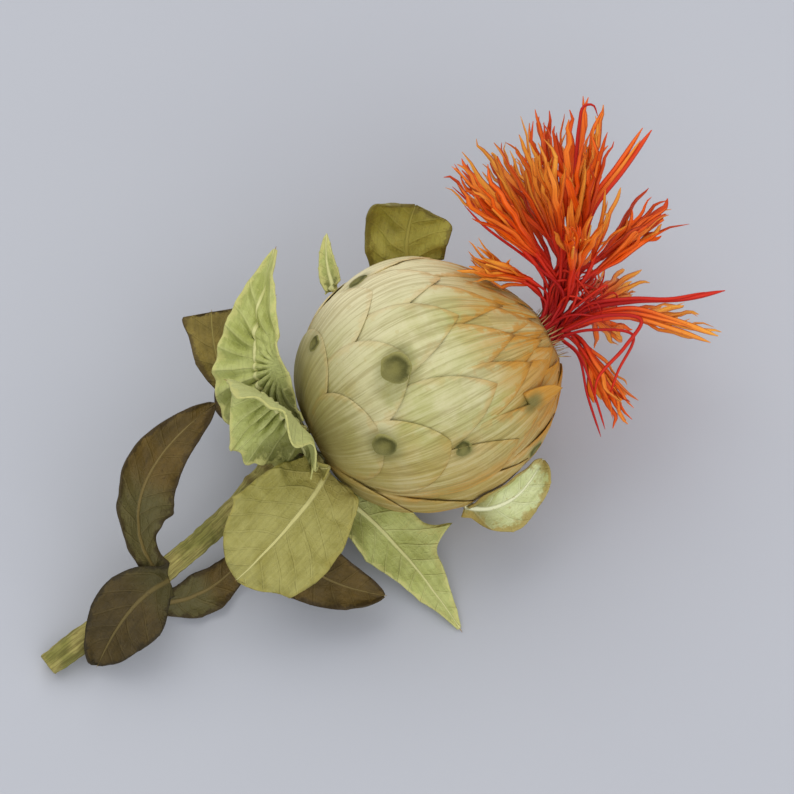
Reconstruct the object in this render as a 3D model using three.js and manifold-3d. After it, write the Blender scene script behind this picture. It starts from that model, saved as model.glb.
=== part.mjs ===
// A dried thistle flower head, cut with a short leafy stem and lying on its side.
// Millimetres, +Z up. The origin is on the surface that the head lies on, under the middle of its globe.
//
// The head is built in a frame of its own: +X runs along the flower's axis from stem to florets, +Z looks out of
// the side that shows best, and 0 is the middle of the globe. The whole head is then rolled about its axis and
// tipped nose up, until its cut stem meets the surface.

import * as THREE from "three";
import { LoftGeometry } from "three/addons/geometries/LoftGeometry.js";
import { mergeVertices } from "three/addons/utils/BufferGeometryUtils.js";
import Module from "manifold-3d";

// Driving dimensions.
const GLOBE_RADIUS = 13.1; // half the globe's width
const BELLY_HEIGHT = 12.75; // from the surface to the globe's middle; less than the radius, so its belly is flat
const ROLL = 24.3; // degrees that the head is rolled about its axis
const NOSE_UP = 12; // degrees that the head tips, with its cut stem on the surface
const MOUTH_X = 13.7; // where the florets leave the globe
const MOUTH_RADIUS = 2.6;
const MOUTH_SHIFT = -1.7; // how far the mouth sits off the axis, along Y, because the head has grown askew
const BASE_X = -12.2; // the flat foot of the globe, where the stem meets it
const STEM_RADIUS = 1.15;
const DISC_RADIUS = 3.4; // the stem's widened top, which carries the globe and the bracts
const BLADE_THICKNESS = 0.6;
const GAP = 0.3; // left between pieces that touch
const SEED = 25;

// The stem's middle line, from the cut end up to the head.
const STEM_LINE = [
  [-46.0, -7.6, 1.25],
  [-38.5, -6.2, 0.7],
  [-31.5, -4.6, 0.4],
  [-25.0, -3.1, 0.3],
  [-19.0, -1.0, 0.1],
  [-15.4, 0, 0],
  [BASE_X - GAP, 0, 0],
];

const COLOURS = {
  globe: 0xc3bd86,
  bract: 0x9aa069,
  outerBract: 0x6d6a3c,
  scaleTip: 0xa3a76c,
  floret: 0xd8531c,
  stem: 0xa69c6a,
  stemLeaf: 0x6b6337,
};

const wasm = await Module();
wasm.setup();

// ---------------------------------------------------------------- small helpers

// A repeatable draw of numbers from 0 to 1.
function makeDraw(seed) {
  let state = seed;
  return () => {
    state = (state * 1664525 + 1013904223) % 4294967296;
    return state / 4294967296;
  };
}

const radians = (degrees) => (degrees * Math.PI) / 180;
const vector = (point) => new THREE.Vector3(...point);

// Directions away from the axis and round it, at a roll in degrees from the head's +Z towards its +Y.
const outward = (roll) => new THREE.Vector3(0, Math.sin(radians(roll)), Math.cos(radians(roll)));
const aroundAt = (roll) => new THREE.Vector3(0, Math.cos(radians(roll)), -Math.sin(radians(roll)));

// A point given by its place along the axis, its roll and its distance from the axis.
const polar = (x, roll, distance) => outward(roll).multiplyScalar(distance).setX(x);

// A closed geometry as a solid that can be joined and cut.
function solidOf(geometry) {
  const bare = geometry.index ? geometry.toNonIndexed() : geometry.clone();
  bare.deleteAttribute("normal");
  bare.deleteAttribute("uv");
  const merged = mergeVertices(bare, 1e-4);
  return new wasm.Manifold(
    new wasm.Mesh({
      numProp: 3,
      vertProperties: merged.attributes.position.array,
      triVerts: new Uint32Array(merged.index.array),
    }),
  );
}

// A solid back as a geometry.
function geometryOf(solid) {
  const mesh = solid.getMesh();
  const positions = new Float32Array(mesh.numVert * 3);
  for (let i = 0; i < mesh.numVert; i++)
    positions.set(mesh.vertProperties.subarray(i * mesh.numProp, i * mesh.numProp + 3), i * 3);
  const geometry = new THREE.BufferGeometry();
  geometry.setAttribute("position", new THREE.BufferAttribute(positions, 3));
  geometry.setIndex(new THREE.BufferAttribute(mesh.triVerts, 1));
  geometry.computeVertexNormals();
  return geometry;
}

// The largest body of a solid, without the small hollows that its joined pieces seal.
function outerBody(solid) {
  return solid.decompose().reduce((largest, body) => (body.volume() > largest.volume() ? body : largest));
}

// A named mesh with its own material.
function piece(name, geometry, colour, roughness = 0.85) {
  const material = new THREE.MeshStandardMaterial({ color: colour, roughness, metalness: 0 });
  const mesh = new THREE.Mesh(geometry, material);
  mesh.name = name;
  return mesh;
}

// A rod of changing radius along a curve, with a ring of `sides` points at each step.
function rod(curve, radiusAt, sides, steps) {
  const sections = [];
  const frames = curve.computeFrenetFrames(steps, false);
  for (let i = 0; i <= steps; i++) {
    const middle = curve.getPointAt(i / steps);
    const ring = [];
    for (let k = 0; k < sides; k++) {
      const angle = (2 * Math.PI * k) / sides;
      const radius = radiusAt(i / steps, angle);
      ring.push(
        middle
          .clone()
          .addScaledVector(frames.normals[i], Math.cos(angle) * radius)
          .addScaledVector(frames.binormals[i], Math.sin(angle) * radius),
      );
    }
    sections.push(ring);
  }
  return new LoftGeometry(sections, { capStart: true, capEnd: true });
}

// ---------------------------------------------------------------- leaf blades

const BLADE_STATIONS = 12;
const BLADE_LANES = 4; // across, from margin to margin
const CLEAR_REACH = GLOBE_RADIUS + GAP + BLADE_THICKNESS / 2; // a blade's middle comes no nearer to the globe's

// How wide a blade is along its length, as a share of its widest: an ovate outline with a narrow foot.
function bladeOutline(share, foot, widest, blunt) {
  const rise = Math.min(1, share / widest);
  const fall = share > widest ? (share - widest) / (1 - widest) : 0;
  const belly = foot + (1 - foot) * Math.sin((rise * Math.PI) / 2);
  return belly * Math.sqrt(Math.max(0, 1 - fall ** blunt)) + 0.04;
}

// A thin leaf blade along a bent midrib. Its faces are split into triangles alike on both sides.
//   root, bend, tip: the midrib's ends and the point that it bends towards
//   face, tipFace: which way the upper face looks at the root and at the tip
//   width: full width; foot: its share at the root; widest: where along the length it is widest
//   blunt: how round the tip is; a larger number is blunter
//   fold: degrees that each half lifts towards the upper face; ruffle, waves: height and number of the waves
//   at the margin; teeth: size of the marginal teeth as a share of the width
function blade({ root, bend, tip, face, tipFace = face, width, foot = 0.45, widest = 0.45, blunt = 1.7,
  fold = 15, ruffle = 0.5, waves = 1.5, teeth = 0.06 }) {
  const line = new THREE.QuadraticBezierCurve3(vector(root), vector(bend), vector(tip));
  const upper = [];
  const lower = [];
  for (let i = 0; i <= BLADE_STATIONS; i++) {
    const share = i / BLADE_STATIONS;
    const middle = line.getPoint(share);
    const along = line.getTangent(share);
    const up = vector(face).normalize().lerp(vector(tipFace).normalize(), share);
    up.addScaledVector(along, -up.dot(along)).normalize();
    const side = up.clone().cross(along);
    const tooth = 1 + teeth * (i % 2 === 1 ? 1 : -1);
    const half = 0.5 * width * bladeOutline(share, foot, widest, blunt) * tooth;
    const height = ruffle * Math.sqrt(share) * Math.min(1, half); // the waves and the fold fade at the narrow tip
    for (let k = 0; k <= BLADE_LANES; k++) {
      const lane = (2 * k) / BLADE_LANES - 1;
      const lift = radians(fold) * Math.sign(lane) * Math.min(1, half / BLADE_THICKNESS);
      const wave = height * lane * lane * Math.sin(2 * Math.PI * waves * share + lane * 1.3);
      const point = middle
        .clone()
        .addScaledVector(side, lane * half * Math.cos(lift))
        .addScaledVector(up, lane * half * Math.sin(lift) + wave);
      if (point.length() < CLEAR_REACH) point.setLength(CLEAR_REACH);
      const skin = up.clone().multiplyScalar(Math.cos(lift)).addScaledVector(side, -Math.sin(lift));
      upper.push(point.clone().addScaledVector(skin, BLADE_THICKNESS / 2));
      lower.push(point.clone().addScaledVector(skin, -BLADE_THICKNESS / 2));
    }
  }
  return closeBlade(upper, lower);
}

// Joins a blade's two faces round their rim.
function closeBlade(upper, lower) {
  const row = BLADE_LANES + 1;
  const below = upper.length;
  const faces = [];
  const quad = (a, b, c, d) => faces.push(a, b, c, a, c, d);
  for (let i = 0; i < BLADE_STATIONS; i++) {
    for (let k = 0; k < BLADE_LANES; k++) {
      const a = i * row + k;
      const [b, c, d] = [a + row, a + row + 1, a + 1];
      quad(a, b, c, d);
      faces.push(below + a, below + c, below + b, below + a, below + d, below + c);
    }
    const left = i * row;
    const right = left + BLADE_LANES;
    quad(left, below + left, below + left + row, left + row);
    quad(right, right + row, below + right + row, below + right);
  }
  const last = BLADE_STATIONS * row;
  for (let k = 0; k < BLADE_LANES; k++) {
    quad(k, k + 1, below + k + 1, below + k);
    quad(last + k, below + last + k, below + last + k + 1, last + k + 1);
  }
  const geometry = new THREE.BufferGeometry();
  const points = [...upper, ...lower];
  geometry.setAttribute("position", new THREE.Float32BufferAttribute(points.flatMap((p) => p.toArray()), 3));
  geometry.setIndex(faces);
  return geometry;
}

// The leafy bracts round the globe's base, in order round the axis.
const BRACTS = {
  bract_near: { root: [-13.6, -0.2, 4.1], bend: [-13.6, 2.0, 9.6], tip: [-18.0, 8.6, 9.0], width: 7.4,
    face: [-0.5, -0.7, 0.5], tipFace: [-0.5, -0.5, 0.8], foot: 0.35, fold: 24, waves: 2 },
  bract_upper: { root: [-13.6, 3.2, 2.8], bend: [-18.4, 9.6, 4.6], tip: [-6.9, 18.4, 1.6], width: 8.2,
    face: [-0.6, 0.1, 0.8], tipFace: [-0.2, 0.3, 1.0], foot: 0.4, fold: 20, ruffle: 0.6, waves: 2.5 },
  bract_high: { root: [-13.6, 3.9, -1.6], bend: [-16.6, 13.0, -4.4], tip: [-7.4, 15.8, -7.6], width: 6.4,
    face: [-0.8, 0.5, -0.1], foot: 0.4, fold: 16, waves: 2 },
  bract_far: { root: [-13.6, 0.6, -4.1], bend: [-16.6, 4.2, -8.8], tip: [-13.0, 8.4, -12.4], width: 6.2,
    face: [-0.9, 0.4, -0.1], foot: 0.35, fold: 18, waves: 2 },
  bract_under: { root: [-13.6, -3.2, -2.8], bend: [-16.5, -4.2, -7.2], tip: [-23.0, -5.0, -5.6], width: 7.2,
    face: [0.2, -0.2, -1.0], foot: 0.3, fold: 6, ruffle: 0.2, waves: 1.5 },
  bract_low: { root: [-13.5, -4.0, -0.6], bend: [-11.5, -12.0, -4.6], tip: [-8.1, -23.2, -1.3], width: 7.6,
    face: [0.4, 0.3, 1.0], tipFace: [0.2, 0.1, 1.0], foot: 0.3, fold: 12, ruffle: 0.3, teeth: 0.1 },
  bract_broad: { root: [-13.6, -2.9, 3.1], bend: [-17.6, -6.0, 7.6], tip: [-24.4, -10.8, 5.5], width: 12.4,
    face: [0.1, -0.1, 1.0], foot: 0.3, widest: 0.5, fold: 5, ruffle: 0.4, waves: 2, teeth: 0.03 },
};

// Darker and more withered bracts, which grow a little lower on the stem.
const OUTER_BRACTS = {
  bract_outer_high: { root: [-16.0, 2.4, -0.6], bend: [-19.4, 8.6, -1.0], tip: [-15.8, 16.3, -2.4], width: 6.4,
    face: [-0.6, 0.0, 1.0], foot: 0.2, widest: 0.75, blunt: 4, fold: 14, waves: 1.5 },
  bract_outer_low: { root: [-16.4, -3.0, 0.4], bend: [-23.0, -9.6, 1.4], tip: [-13.2, -16.9, 0.9], width: 7.4,
    face: [-0.3, 0.3, 1.0], foot: 0.35, fold: 10, waves: 1.5 },
  bract_outer_far: { root: [-15.8, 0.4, -2.4], bend: [-18.8, 5.6, -6.6], tip: [-17.6, 10.6, -9.2], width: 5.4,
    face: [-1.0, 0.3, 0.2], foot: 0.3, fold: 10, waves: 1.5 },
};

// Leafy tips that still stand on the globe's scales.
const SCALE_TIPS = {
  scale_tip_top: { root: [0.2, 14.6, -0.4], bend: [4.6, 16.4, -1.1], tip: [9.8, 12.8, -1.9], width: 4.6,
    face: [0.0, 0.35, 1.0], foot: 0.7, widest: 0.6, blunt: 3.5, fold: 24, ruffle: 0.2, waves: 1, teeth: 0.02 },
  scale_tip_spike: { root: [-5.4, 12.6, -1.7], bend: [-4.0, 14.4, -2.0], tip: [-1.8, 17.6, -2.0], width: 2.2,
    face: [-0.2, 0.1, 1.0], foot: 0.7, fold: 20, ruffle: 0.1, waves: 1, teeth: 0.1 },
  scale_tip_low: { root: [-2.4, -13.5, 1.4], bend: [1.8, -16.6, 1.6], tip: [7.2, -12.5, 0.4], width: 5.0,
    face: [0.0, -0.2, 1.0], foot: 0.4, fold: 20, ruffle: 0.3, waves: 1, teeth: 0.04 },
};

// Leaves on the stem.
const STEM_LEAVES = {
  stem_leaf_upper: { root: [-32.4, -3.3, 2.2], bend: [-33.6, 6.4, 5.0], tip: [-20.2, 8.0, 2.4], width: 5.4,
    face: [0.0, 0.1, 1.0], tipFace: [0.2, -0.3, 1.0], fold: 16, ruffle: 0.3, teeth: 0.02 },
  stem_leaf_lower: { root: [-32.2, -5.6, 2.4], bend: [-36.0, -5.6, 5.6], tip: [-41.6, -9.8, 1.4], width: 7.4,
    face: [0.0, -0.1, 1.0], fold: 14, ruffle: 0.4, teeth: 0.03 },
  stem_leaf_far: { root: [-33.6, -7.1, -0.8], bend: [-29.0, -9.6, -2.4], tip: [-23.0, -6.6, -3.0], width: 4.4,
    face: [0.0, -0.3, 1.0], fold: 12, ruffle: 0.2, teeth: 0.02 },
};

// ---------------------------------------------------------------- the globe

const GLOBE_STEPS = 14;
const GLOBE_SIDES = 28;
const TALLEST_SCALE = 0.5; // how far the tip of the lowest scales stands off the body under them
// Rows of overlapping scales, outermost first: how many, their tips' angle from the axis, their length as an
// angle, their half width as an angle, the roll of the first one and how far the tip stands off the globe.
const SCALE_ROWS = [
  { count: 5, tip: 116, length: 46, halfWidth: 34, first: -18, stand: TALLEST_SCALE },
  { count: 7, tip: 88, length: 48, halfWidth: 25, first: 12, stand: 0.45 },
  { count: 8, tip: 58, length: 46, halfWidth: 23, first: -13, stand: 0.4 },
  { count: 8, tip: 33, length: 42, halfWidth: 24, first: 9, stand: 0.35 },
];

// The globe's own surface: its distance from the centre, which grows into a short beak round the mouth.
function globeReach(angle) {
  const core = GLOBE_RADIUS - TALLEST_SCALE;
  return core + (MOUTH_X - core) * Math.max(0, Math.cos(angle)) ** 12;
}

function globePoint(angle, roll, extra = 0) {
  const reach = globeReach(angle) + extra;
  return askew(polar(reach * Math.cos(angle), roll, reach * Math.sin(angle)));
}

// Shifts a point on the globe's upper half, the more the nearer it is to the mouth.
function askew(point) {
  const share = Math.min(1, Math.max(0, point.x / MOUTH_X));
  return point.setY(point.y + MOUTH_SHIFT * share ** 2);
}

// The same for all the vertices of a geometry.
function askewGeometry(geometry) {
  const position = geometry.attributes.position;
  for (let i = 0; i < position.count; i++) {
    const point = askew(new THREE.Vector3().fromBufferAttribute(position, i));
    position.setXYZ(i, ...point.toArray());
  }
  return geometry;
}

// The closed body under the scales, with a shallow cup at its mouth for the florets.
function globeCore() {
  const profile = [new THREE.Vector2(0, BASE_X)];
  const start = Math.acos(BASE_X / globeReach(Math.PI));
  const end = Math.asin(MOUTH_RADIUS / globeReach(0));
  for (let i = 0; i <= GLOBE_STEPS; i++) {
    const angle = start + ((end - start) * i) / GLOBE_STEPS;
    const reach = globeReach(angle);
    profile.push(new THREE.Vector2(reach * Math.sin(angle), reach * Math.cos(angle)));
  }
  const rim = profile.at(-1).y;
  profile.push(new THREE.Vector2(MOUTH_RADIUS - 0.5, rim - 1.2), new THREE.Vector2(0, rim - 1.4));
  return askewGeometry(new THREE.LatheGeometry(profile, GLOBE_SIDES).rotateZ(-Math.PI / 2));
}

// One scale that lies on the globe, thin at its foot, with a rounded tip that stands off a little.
function scale(roll, { tip, length, halfWidth, stand }) {
  const steps = 5;
  const lanes = 4;
  const sunk = -0.6;
  const foot = tip + length;
  const sections = [];
  for (let i = 0; i <= steps; i++) {
    const share = i / steps;
    const angle = radians(foot - length * share);
    const half = halfWidth * Math.sqrt(Math.max(0.02, 1 - share ** 3.5)) * (0.75 + 0.25 * share);
    const reach = Math.max(0.12, stand * share ** 0.7);
    const ring = [];
    for (let k = 0; k <= lanes; k++) {
      const lane = (2 * k) / lanes - 1;
      ring.push(globePoint(angle, roll + half * lane, reach * (1 - 0.35 * lane * lane)));
    }
    ring.push(globePoint(angle, roll + half * 0.9, sunk), globePoint(angle, roll - half * 0.9, sunk));
    sections.push(ring.reverse());
  }
  return new LoftGeometry(sections, { capStart: true, capEnd: true });
}

// All the scales fused to the globe, and its belly cut flat where it lies.
function globe(surface) {
  const scales = SCALE_ROWS.flatMap((row) =>
    Array.from({ length: row.count }, (_, k) => solidOf(scale(row.first + (360 * k) / row.count, row))),
  );
  return geometryOf(wasm.Manifold.union([solidOf(globeCore()), ...scales]).subtract(surface));
}

// ---------------------------------------------------------------- the florets

const FLORET_LOBES = 4;
const TUBE_RADIUS = 0.4;
const LOBE_RADIUS = 0.38;
const LOBE_SHAPE = [0.3, 1, 0.9, 0.4]; // its radius along its length, as shares of the above
const KNEE_X = 17.0; // where the bundle of florets begins to splay
// Locks of florets: their angle from the axis and roll, how far they spread about these, how many and how long.
const LOCKS = [
  { angle: 84, roll: 88, spread: [20, 30], count: 10, length: 18.5 },
  { angle: 50, roll: 80, spread: [14, 30], count: 6, length: 17.5 },
  { angle: 18, roll: 60, spread: [10, 60], count: 3, length: 13.5 },
  { angle: 32, roll: -90, spread: [10, 14], count: 3, length: 15.0 },
  { angle: 95, roll: -90, spread: [11, 12], count: 3, length: 13.4 },
  { angle: 122, roll: 76, spread: [4, 8], count: 1, length: 10.5 },
  { angle: 72, roll: 6, spread: [18, 36], count: 5, length: 13.0 },
  { angle: 68, roll: 176, spread: [20, 36], count: 6, length: 14.0 },
];

// One floret: a slender tube that bends out of the bundle, then splits into narrow lobes.
function floret(draw, angle, roll, length) {
  const heading = outward(roll).multiplyScalar(Math.sin(radians(angle))).setX(Math.cos(radians(angle)));
  const foot = askew(polar(MOUTH_X + 0.4, roll, 0.5 + 0.9 * draw()));
  const knee = polar(KNEE_X + 0.8 * draw(), roll, 0.6 + 0.7 * draw());
  const throat = knee.clone().addScaledVector(heading, length * 0.4);
  const tube = new THREE.QuadraticBezierCurve3(foot, knee, throat);
  const solids = [solidOf(rod(tube, (share) => TUBE_RADIUS * (0.9 + 0.4 * share), 3, 4))];
  const leaning = aroundAt(roll);
  const across = heading.clone().cross(leaning);
  const turn = draw() * Math.PI;
  const steps = LOBE_SHAPE.length - 1;
  for (let k = 0; k < FLORET_LOBES; k++) {
    const spin = turn + (2 * Math.PI * k) / FLORET_LOBES;
    const away = leaning.clone().multiplyScalar(Math.cos(spin)).addScaledVector(across, Math.sin(spin));
    const reach = length * (0.5 + 0.14 * draw());
    const start = throat.clone().addScaledVector(heading, -0.5).addScaledVector(away, 0.15);
    const middle = start.clone().addScaledVector(heading, reach * 0.5).addScaledVector(away, 0.7 + 0.9 * draw());
    const end = start.clone().addScaledVector(heading, reach + 0.8).addScaledVector(away, 0.6 + 2.2 * draw());
    const lobe = new THREE.QuadraticBezierCurve3(start, middle, end);
    solids.push(solidOf(rod(lobe, (share) => LOBE_RADIUS * LOBE_SHAPE[Math.round(share * steps)], 3, steps)));
  }
  return solids;
}

// The whole tuft, on a short plug that stands in the globe's mouth.
function tuft() {
  const draw = makeDraw(SEED);
  const jitter = () => 2 * draw() - 1;
  const plug = new THREE.LatheGeometry(
    [
      [0, MOUTH_X - 0.6],
      [MOUTH_RADIUS - 0.5 - GAP, MOUTH_X - 0.5],
      [MOUTH_RADIUS - 0.7, MOUTH_X + 1.0],
      [1.5, MOUTH_X + 2.0],
      [0, MOUTH_X + 2.8],
    ].map(([r, x]) => new THREE.Vector2(r, x)),
    10,
  ).rotateZ(-Math.PI / 2);
  const solids = [solidOf(askewGeometry(plug))];
  for (const { angle, roll, spread, count, length } of LOCKS)
    for (let k = 0; k < count; k++) {
      const reach = length * (0.86 + 0.16 * draw());
      solids.push(...floret(draw, angle + spread[0] * jitter(), roll + spread[1] * jitter(), reach));
    }
  return geometryOf(outerBody(wasm.Manifold.union(solids)));
}

// ---------------------------------------------------------------- the stem

// A ribbed stem that widens into the disc under the globe, with a square cut at its far end.
function stem() {
  const line = new THREE.CatmullRomCurve3(STEM_LINE.map(vector));
  const widening = (share) => Math.max(0, (share - 0.86) / 0.14) ** 2;
  const radiusAt = (share, angle) =>
    STEM_RADIUS * (1.1 - 0.1 * share) * (1 + 0.07 * Math.cos(5 * angle)) +
    (DISC_RADIUS - STEM_RADIUS) * widening(share);
  return rod(line, radiusAt, 10, 26);
}

// ---------------------------------------------------------------- assembly

const head = new THREE.Group();
head.position.set(0, 0, BELLY_HEIGHT);
head.rotation.set(radians(ROLL), -radians(NOSE_UP), 0, "YXZ");
head.updateMatrixWorld(true);

// The space under the surface, seen from the head's own frame.
const ground = new THREE.BoxGeometry(120, 120, 40).translate(0, 0, -20);
const groundInHead = solidOf(ground.applyMatrix4(head.matrixWorld.clone().invert()));

head.add(piece("globe", globe(groundInHead), COLOURS.globe));
head.add(piece("floret_tuft", tuft(), COLOURS.floret, 0.7));
head.add(piece("stem", stem(), COLOURS.stem));
const bladeTables = [
  [BRACTS, COLOURS.bract],
  [OUTER_BRACTS, COLOURS.outerBract],
  [SCALE_TIPS, COLOURS.scaleTip],
  [STEM_LEAVES, COLOURS.stemLeaf],
];
for (const [blades, colour] of bladeTables)
  for (const [name, form] of Object.entries(blades)) head.add(piece(name, blade(form), colour));

const flower = new THREE.Group();
flower.add(head);

export default flower;
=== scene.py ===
"""The looks of a dried thistle flower head: a scaly globe, leafy bracts, a tuft of florets and a short stem.

Shapes are worked out in millimetres in the head's own frame, where +X runs along the flower's axis from the
stem to the florets, +Z looks out of the side that shows best and 0 is the middle of the globe. HeadFrame lays
them down in the part's frame, in metres, where the head rests on its globe and on its cut stem.
"""

from __future__ import annotations

import logging
import math
from collections.abc import Mapping, Sequence
from dataclasses import dataclass, field
from enum import Enum
from functools import partial, reduce
from typing import ClassVar

import bmesh
import bpy
import numpy as np
from mathutils import Matrix, Vector
from mathutils.bvhtree import BVHTree


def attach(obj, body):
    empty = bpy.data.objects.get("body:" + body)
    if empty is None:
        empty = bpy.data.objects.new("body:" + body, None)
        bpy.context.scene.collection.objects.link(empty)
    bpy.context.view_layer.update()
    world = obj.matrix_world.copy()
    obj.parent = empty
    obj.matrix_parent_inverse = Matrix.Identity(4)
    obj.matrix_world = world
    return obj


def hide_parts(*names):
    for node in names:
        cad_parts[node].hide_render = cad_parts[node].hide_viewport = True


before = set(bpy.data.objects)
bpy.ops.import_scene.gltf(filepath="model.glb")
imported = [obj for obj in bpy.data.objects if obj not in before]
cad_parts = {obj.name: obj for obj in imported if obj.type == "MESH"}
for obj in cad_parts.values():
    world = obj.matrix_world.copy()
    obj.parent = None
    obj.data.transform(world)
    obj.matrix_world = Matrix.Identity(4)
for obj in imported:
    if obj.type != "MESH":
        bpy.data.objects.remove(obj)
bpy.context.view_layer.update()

LOG = logging.getLogger("thistle")
BODY = "root"
MM = 0.001
DRY_SHINE = 0.3

Point = tuple[float, float, float]
Colour = tuple[float, float, float, float]
Array = np.ndarray
Mesh = bpy.types.Mesh
Material = bpy.types.Material
Tree = bpy.types.NodeTree
Node = bpy.types.Node
Socket = bpy.types.NodeSocket
Piece = bpy.types.Object
Feed = Mapping[str, object]


class Slot(Enum):
    """Names of material slots."""

    GLOBE = "papery_globe"
    BRACT = "dry_bract"
    SCALE_TIP = "scale_tip"
    FLORET = "floret"
    STEM = "stem_fibre"
    BROWN_LEAF = "brown_leaf"


# ---- numbers and frames


def tint(code: str) -> Colour:
    """A screen colour such as "#c8c090" as the linear colour that a shader takes.

    Args:
        code: the colour as six hexadecimal digits after a hash.

    Returns:
        Red, green, blue and an alpha of 1.
    """
    parts = [int(code[i : i + 2], 16) / 255 for i in (1, 3, 5)]
    linear = [p / 12.92 if p <= 0.04045 else ((p + 0.055) / 1.055) ** 2.4 for p in parts]
    return (linear[0], linear[1], linear[2], 1.0)


def smooth(values: Array, low: float, high: float) -> Array:
    """A smooth step from 0 at low to 1 at high."""
    t = np.clip((values - low) / (high - low), 0, 1)
    return t * t * (3 - 2 * t)


def unit(vectors: Array) -> Array:
    """The same vectors, each one long."""
    return vectors / np.maximum(np.linalg.norm(vectors, axis=-1, keepdims=True), 1e-12)


def outward(roll: Array | float) -> Array:
    """Directions away from the head's axis, at rolls in degrees from its +Z towards its +Y."""
    turn = np.radians(np.asarray(roll, float))
    return np.stack([np.zeros_like(turn), np.sin(turn), np.cos(turn)], axis=-1)


def polar(x: Array | float, roll: Array | float, distance: Array | float) -> Array:
    """Points given by their place along the axis, their roll and their distance from the axis."""
    points = outward(roll) * np.asarray(distance, float)[..., None]
    points[..., 0] += x
    return points


class Ripples:
    """Smooth random waves in space, alike on every run."""

    def __init__(self, seed: int, size: float, count: int = 16) -> None:
        """Draws the waves.

        Args:
            seed: which set of waves.
            size: their usual length, in millimetres.
            count: how many are summed.
        """
        draw = np.random.default_rng(seed)
        headings = unit(draw.normal(size=(count, 3)))
        self.waves = headings * (math.tau / size) * draw.uniform(0.6, 1.6, (count, 1))
        self.phases = draw.uniform(0, math.tau, count)

    def at(self, points: Array) -> Array:
        """Their height at each point, mostly between -1.5 and 1.5."""
        return np.sin(points @ self.waves.T + self.phases).sum(-1) / math.sqrt(len(self.phases) / 2)

    def sway(self, points: Array, apart: float) -> Array:
        """A shift for each point, out of the heights at three places that lie apart."""
        return np.stack([self.at(points + apart * k) for k in range(3)], axis=-1)


def bezier(start: Array, bend: Array, end: Array, share: Array) -> Array:
    """Points at shares of a curve from start to end that bends towards a third point."""
    s = share[:, None]
    return (1 - s) ** 2 * start + 2 * s * (1 - s) * bend + s**2 * end


def smooth_line(stops: Sequence[Point], count: int) -> Array:
    """Evenly spaced points on a smooth curve through the stops.

    Args:
        stops: the points that the curve passes.
        count: how many points to give.

    Returns:
        The points, from the first stop to the last.
    """
    points = np.array(stops, float)
    points = np.concatenate([[2 * points[0] - points[1]], points, [2 * points[-1] - points[-2]]])
    dense = []
    for a, b, c, d in zip(points[:-3], points[1:-2], points[2:-1], points[3:]):
        before, between, after = (float(np.linalg.norm(q - p)) ** 0.5 for p, q in ((a, b), (b, c), (c, d)))
        leave = ((b - a) / before - (c - a) / (before + between) + (c - b) / between) * between
        arrive = ((c - b) / between - (d - b) / (between + after) + (d - c) / after) * between
        s = np.linspace(0, 1, 60, endpoint=False)[:, None]
        cubic = (2 * b - 2 * c + leave + arrive) * s**3 + (-3 * b + 3 * c - 2 * leave - arrive) * s**2
        dense.append(cubic + leave * s + b)
    track = np.concatenate([*dense, points[-2:-1]])
    gone = np.concatenate([[0], np.cumsum(np.linalg.norm(np.diff(track, axis=0), axis=1))])
    even = np.linspace(0, gone[-1], count)
    return np.stack([np.interp(even, gone, track[:, k]) for k in range(3)], axis=-1)


@dataclass(frozen=True)
class HeadFrame:
    """How the head lies in the part's frame."""

    belly_height: float = 12.75
    roll: float = 24.3
    nose_up: float = 12.0

    def turn(self) -> Array:
        """The turn from the head's frame to the part's frame."""
        tipped = Matrix.Rotation(-math.radians(self.nose_up), 3, "Y")
        rolled = Matrix.Rotation(math.radians(self.roll), 3, "X")
        return np.array(tipped @ rolled)

    def place(self, points: Array) -> Array:
        """Lays millimetre points down.

        Args:
            points: in the head's frame, in millimetres.

        Returns:
            The same points in the part's frame, in metres and never under the surface.
        """
        laid = points @ self.turn().T
        laid[:, 2] = np.maximum(laid[:, 2] + self.belly_height, 0)
        return laid * MM


@dataclass(frozen=True)
class HeadForm:
    """The globe's driving sizes and the surfaces that follow from them."""

    globe_radius: float = 13.1
    tallest_scale: float = 0.5
    mouth_x: float = 13.7
    mouth_radius: float = 2.6
    mouth_shift: float = -1.7
    base_x: float = -12.2
    stem_radius: float = 1.15
    disc_radius: float = 3.4

    @property
    def core_radius(self) -> float:
        """The radius of the round body under the scales."""
        return self.globe_radius - self.tallest_scale

    def reach(self, angle: Array) -> Array:
        """How far the body under the scales reaches, at an angle in radians from the mouth."""
        return self.core_radius + (self.mouth_x - self.core_radius) * np.maximum(0, np.cos(angle)) ** 12

    def askew(self, points: Array) -> Array:
        """The same points, shifted the more the nearer they are to the mouth.

        Args:
            points: any array of points.

        Returns:
            The shifted points.
        """
        share = np.clip(points[..., 0] / self.mouth_x, 0, 1)
        moved = points.copy()
        moved[..., 1] += self.mouth_shift * share**2
        return moved

    def straight_point(self, angle: Array, roll: Array, extra: Array | float) -> Array:
        """Points over the globe before it is shifted askew, at angles in radians and rolls in degrees."""
        reach = self.reach(angle) + extra
        return polar(reach * np.cos(angle), roll, reach * np.sin(angle))


# ---- meshes


def store(mesh: Mesh, values: Mapping[str, Array]) -> None:
    """Stores named values at a mesh's points, as vectors where they have columns.

    Args:
        mesh: the mesh.
        values: one number or vector for each point, by name.
    """
    for key, value in values.items():
        kind, content = ("FLOAT_VECTOR", "vector") if value.ndim == 2 else ("FLOAT", "value")
        attribute = mesh.attributes.new(key, kind, "POINT")
        attribute.data.foreach_set(content, value.astype(np.float32).ravel())


def read_points(mesh: Mesh) -> Array:
    """A mesh's points as an array."""
    points = np.empty(len(mesh.vertices) * 3)
    mesh.vertices.foreach_get("co", points)
    return points.reshape(-1, 3)


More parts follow.
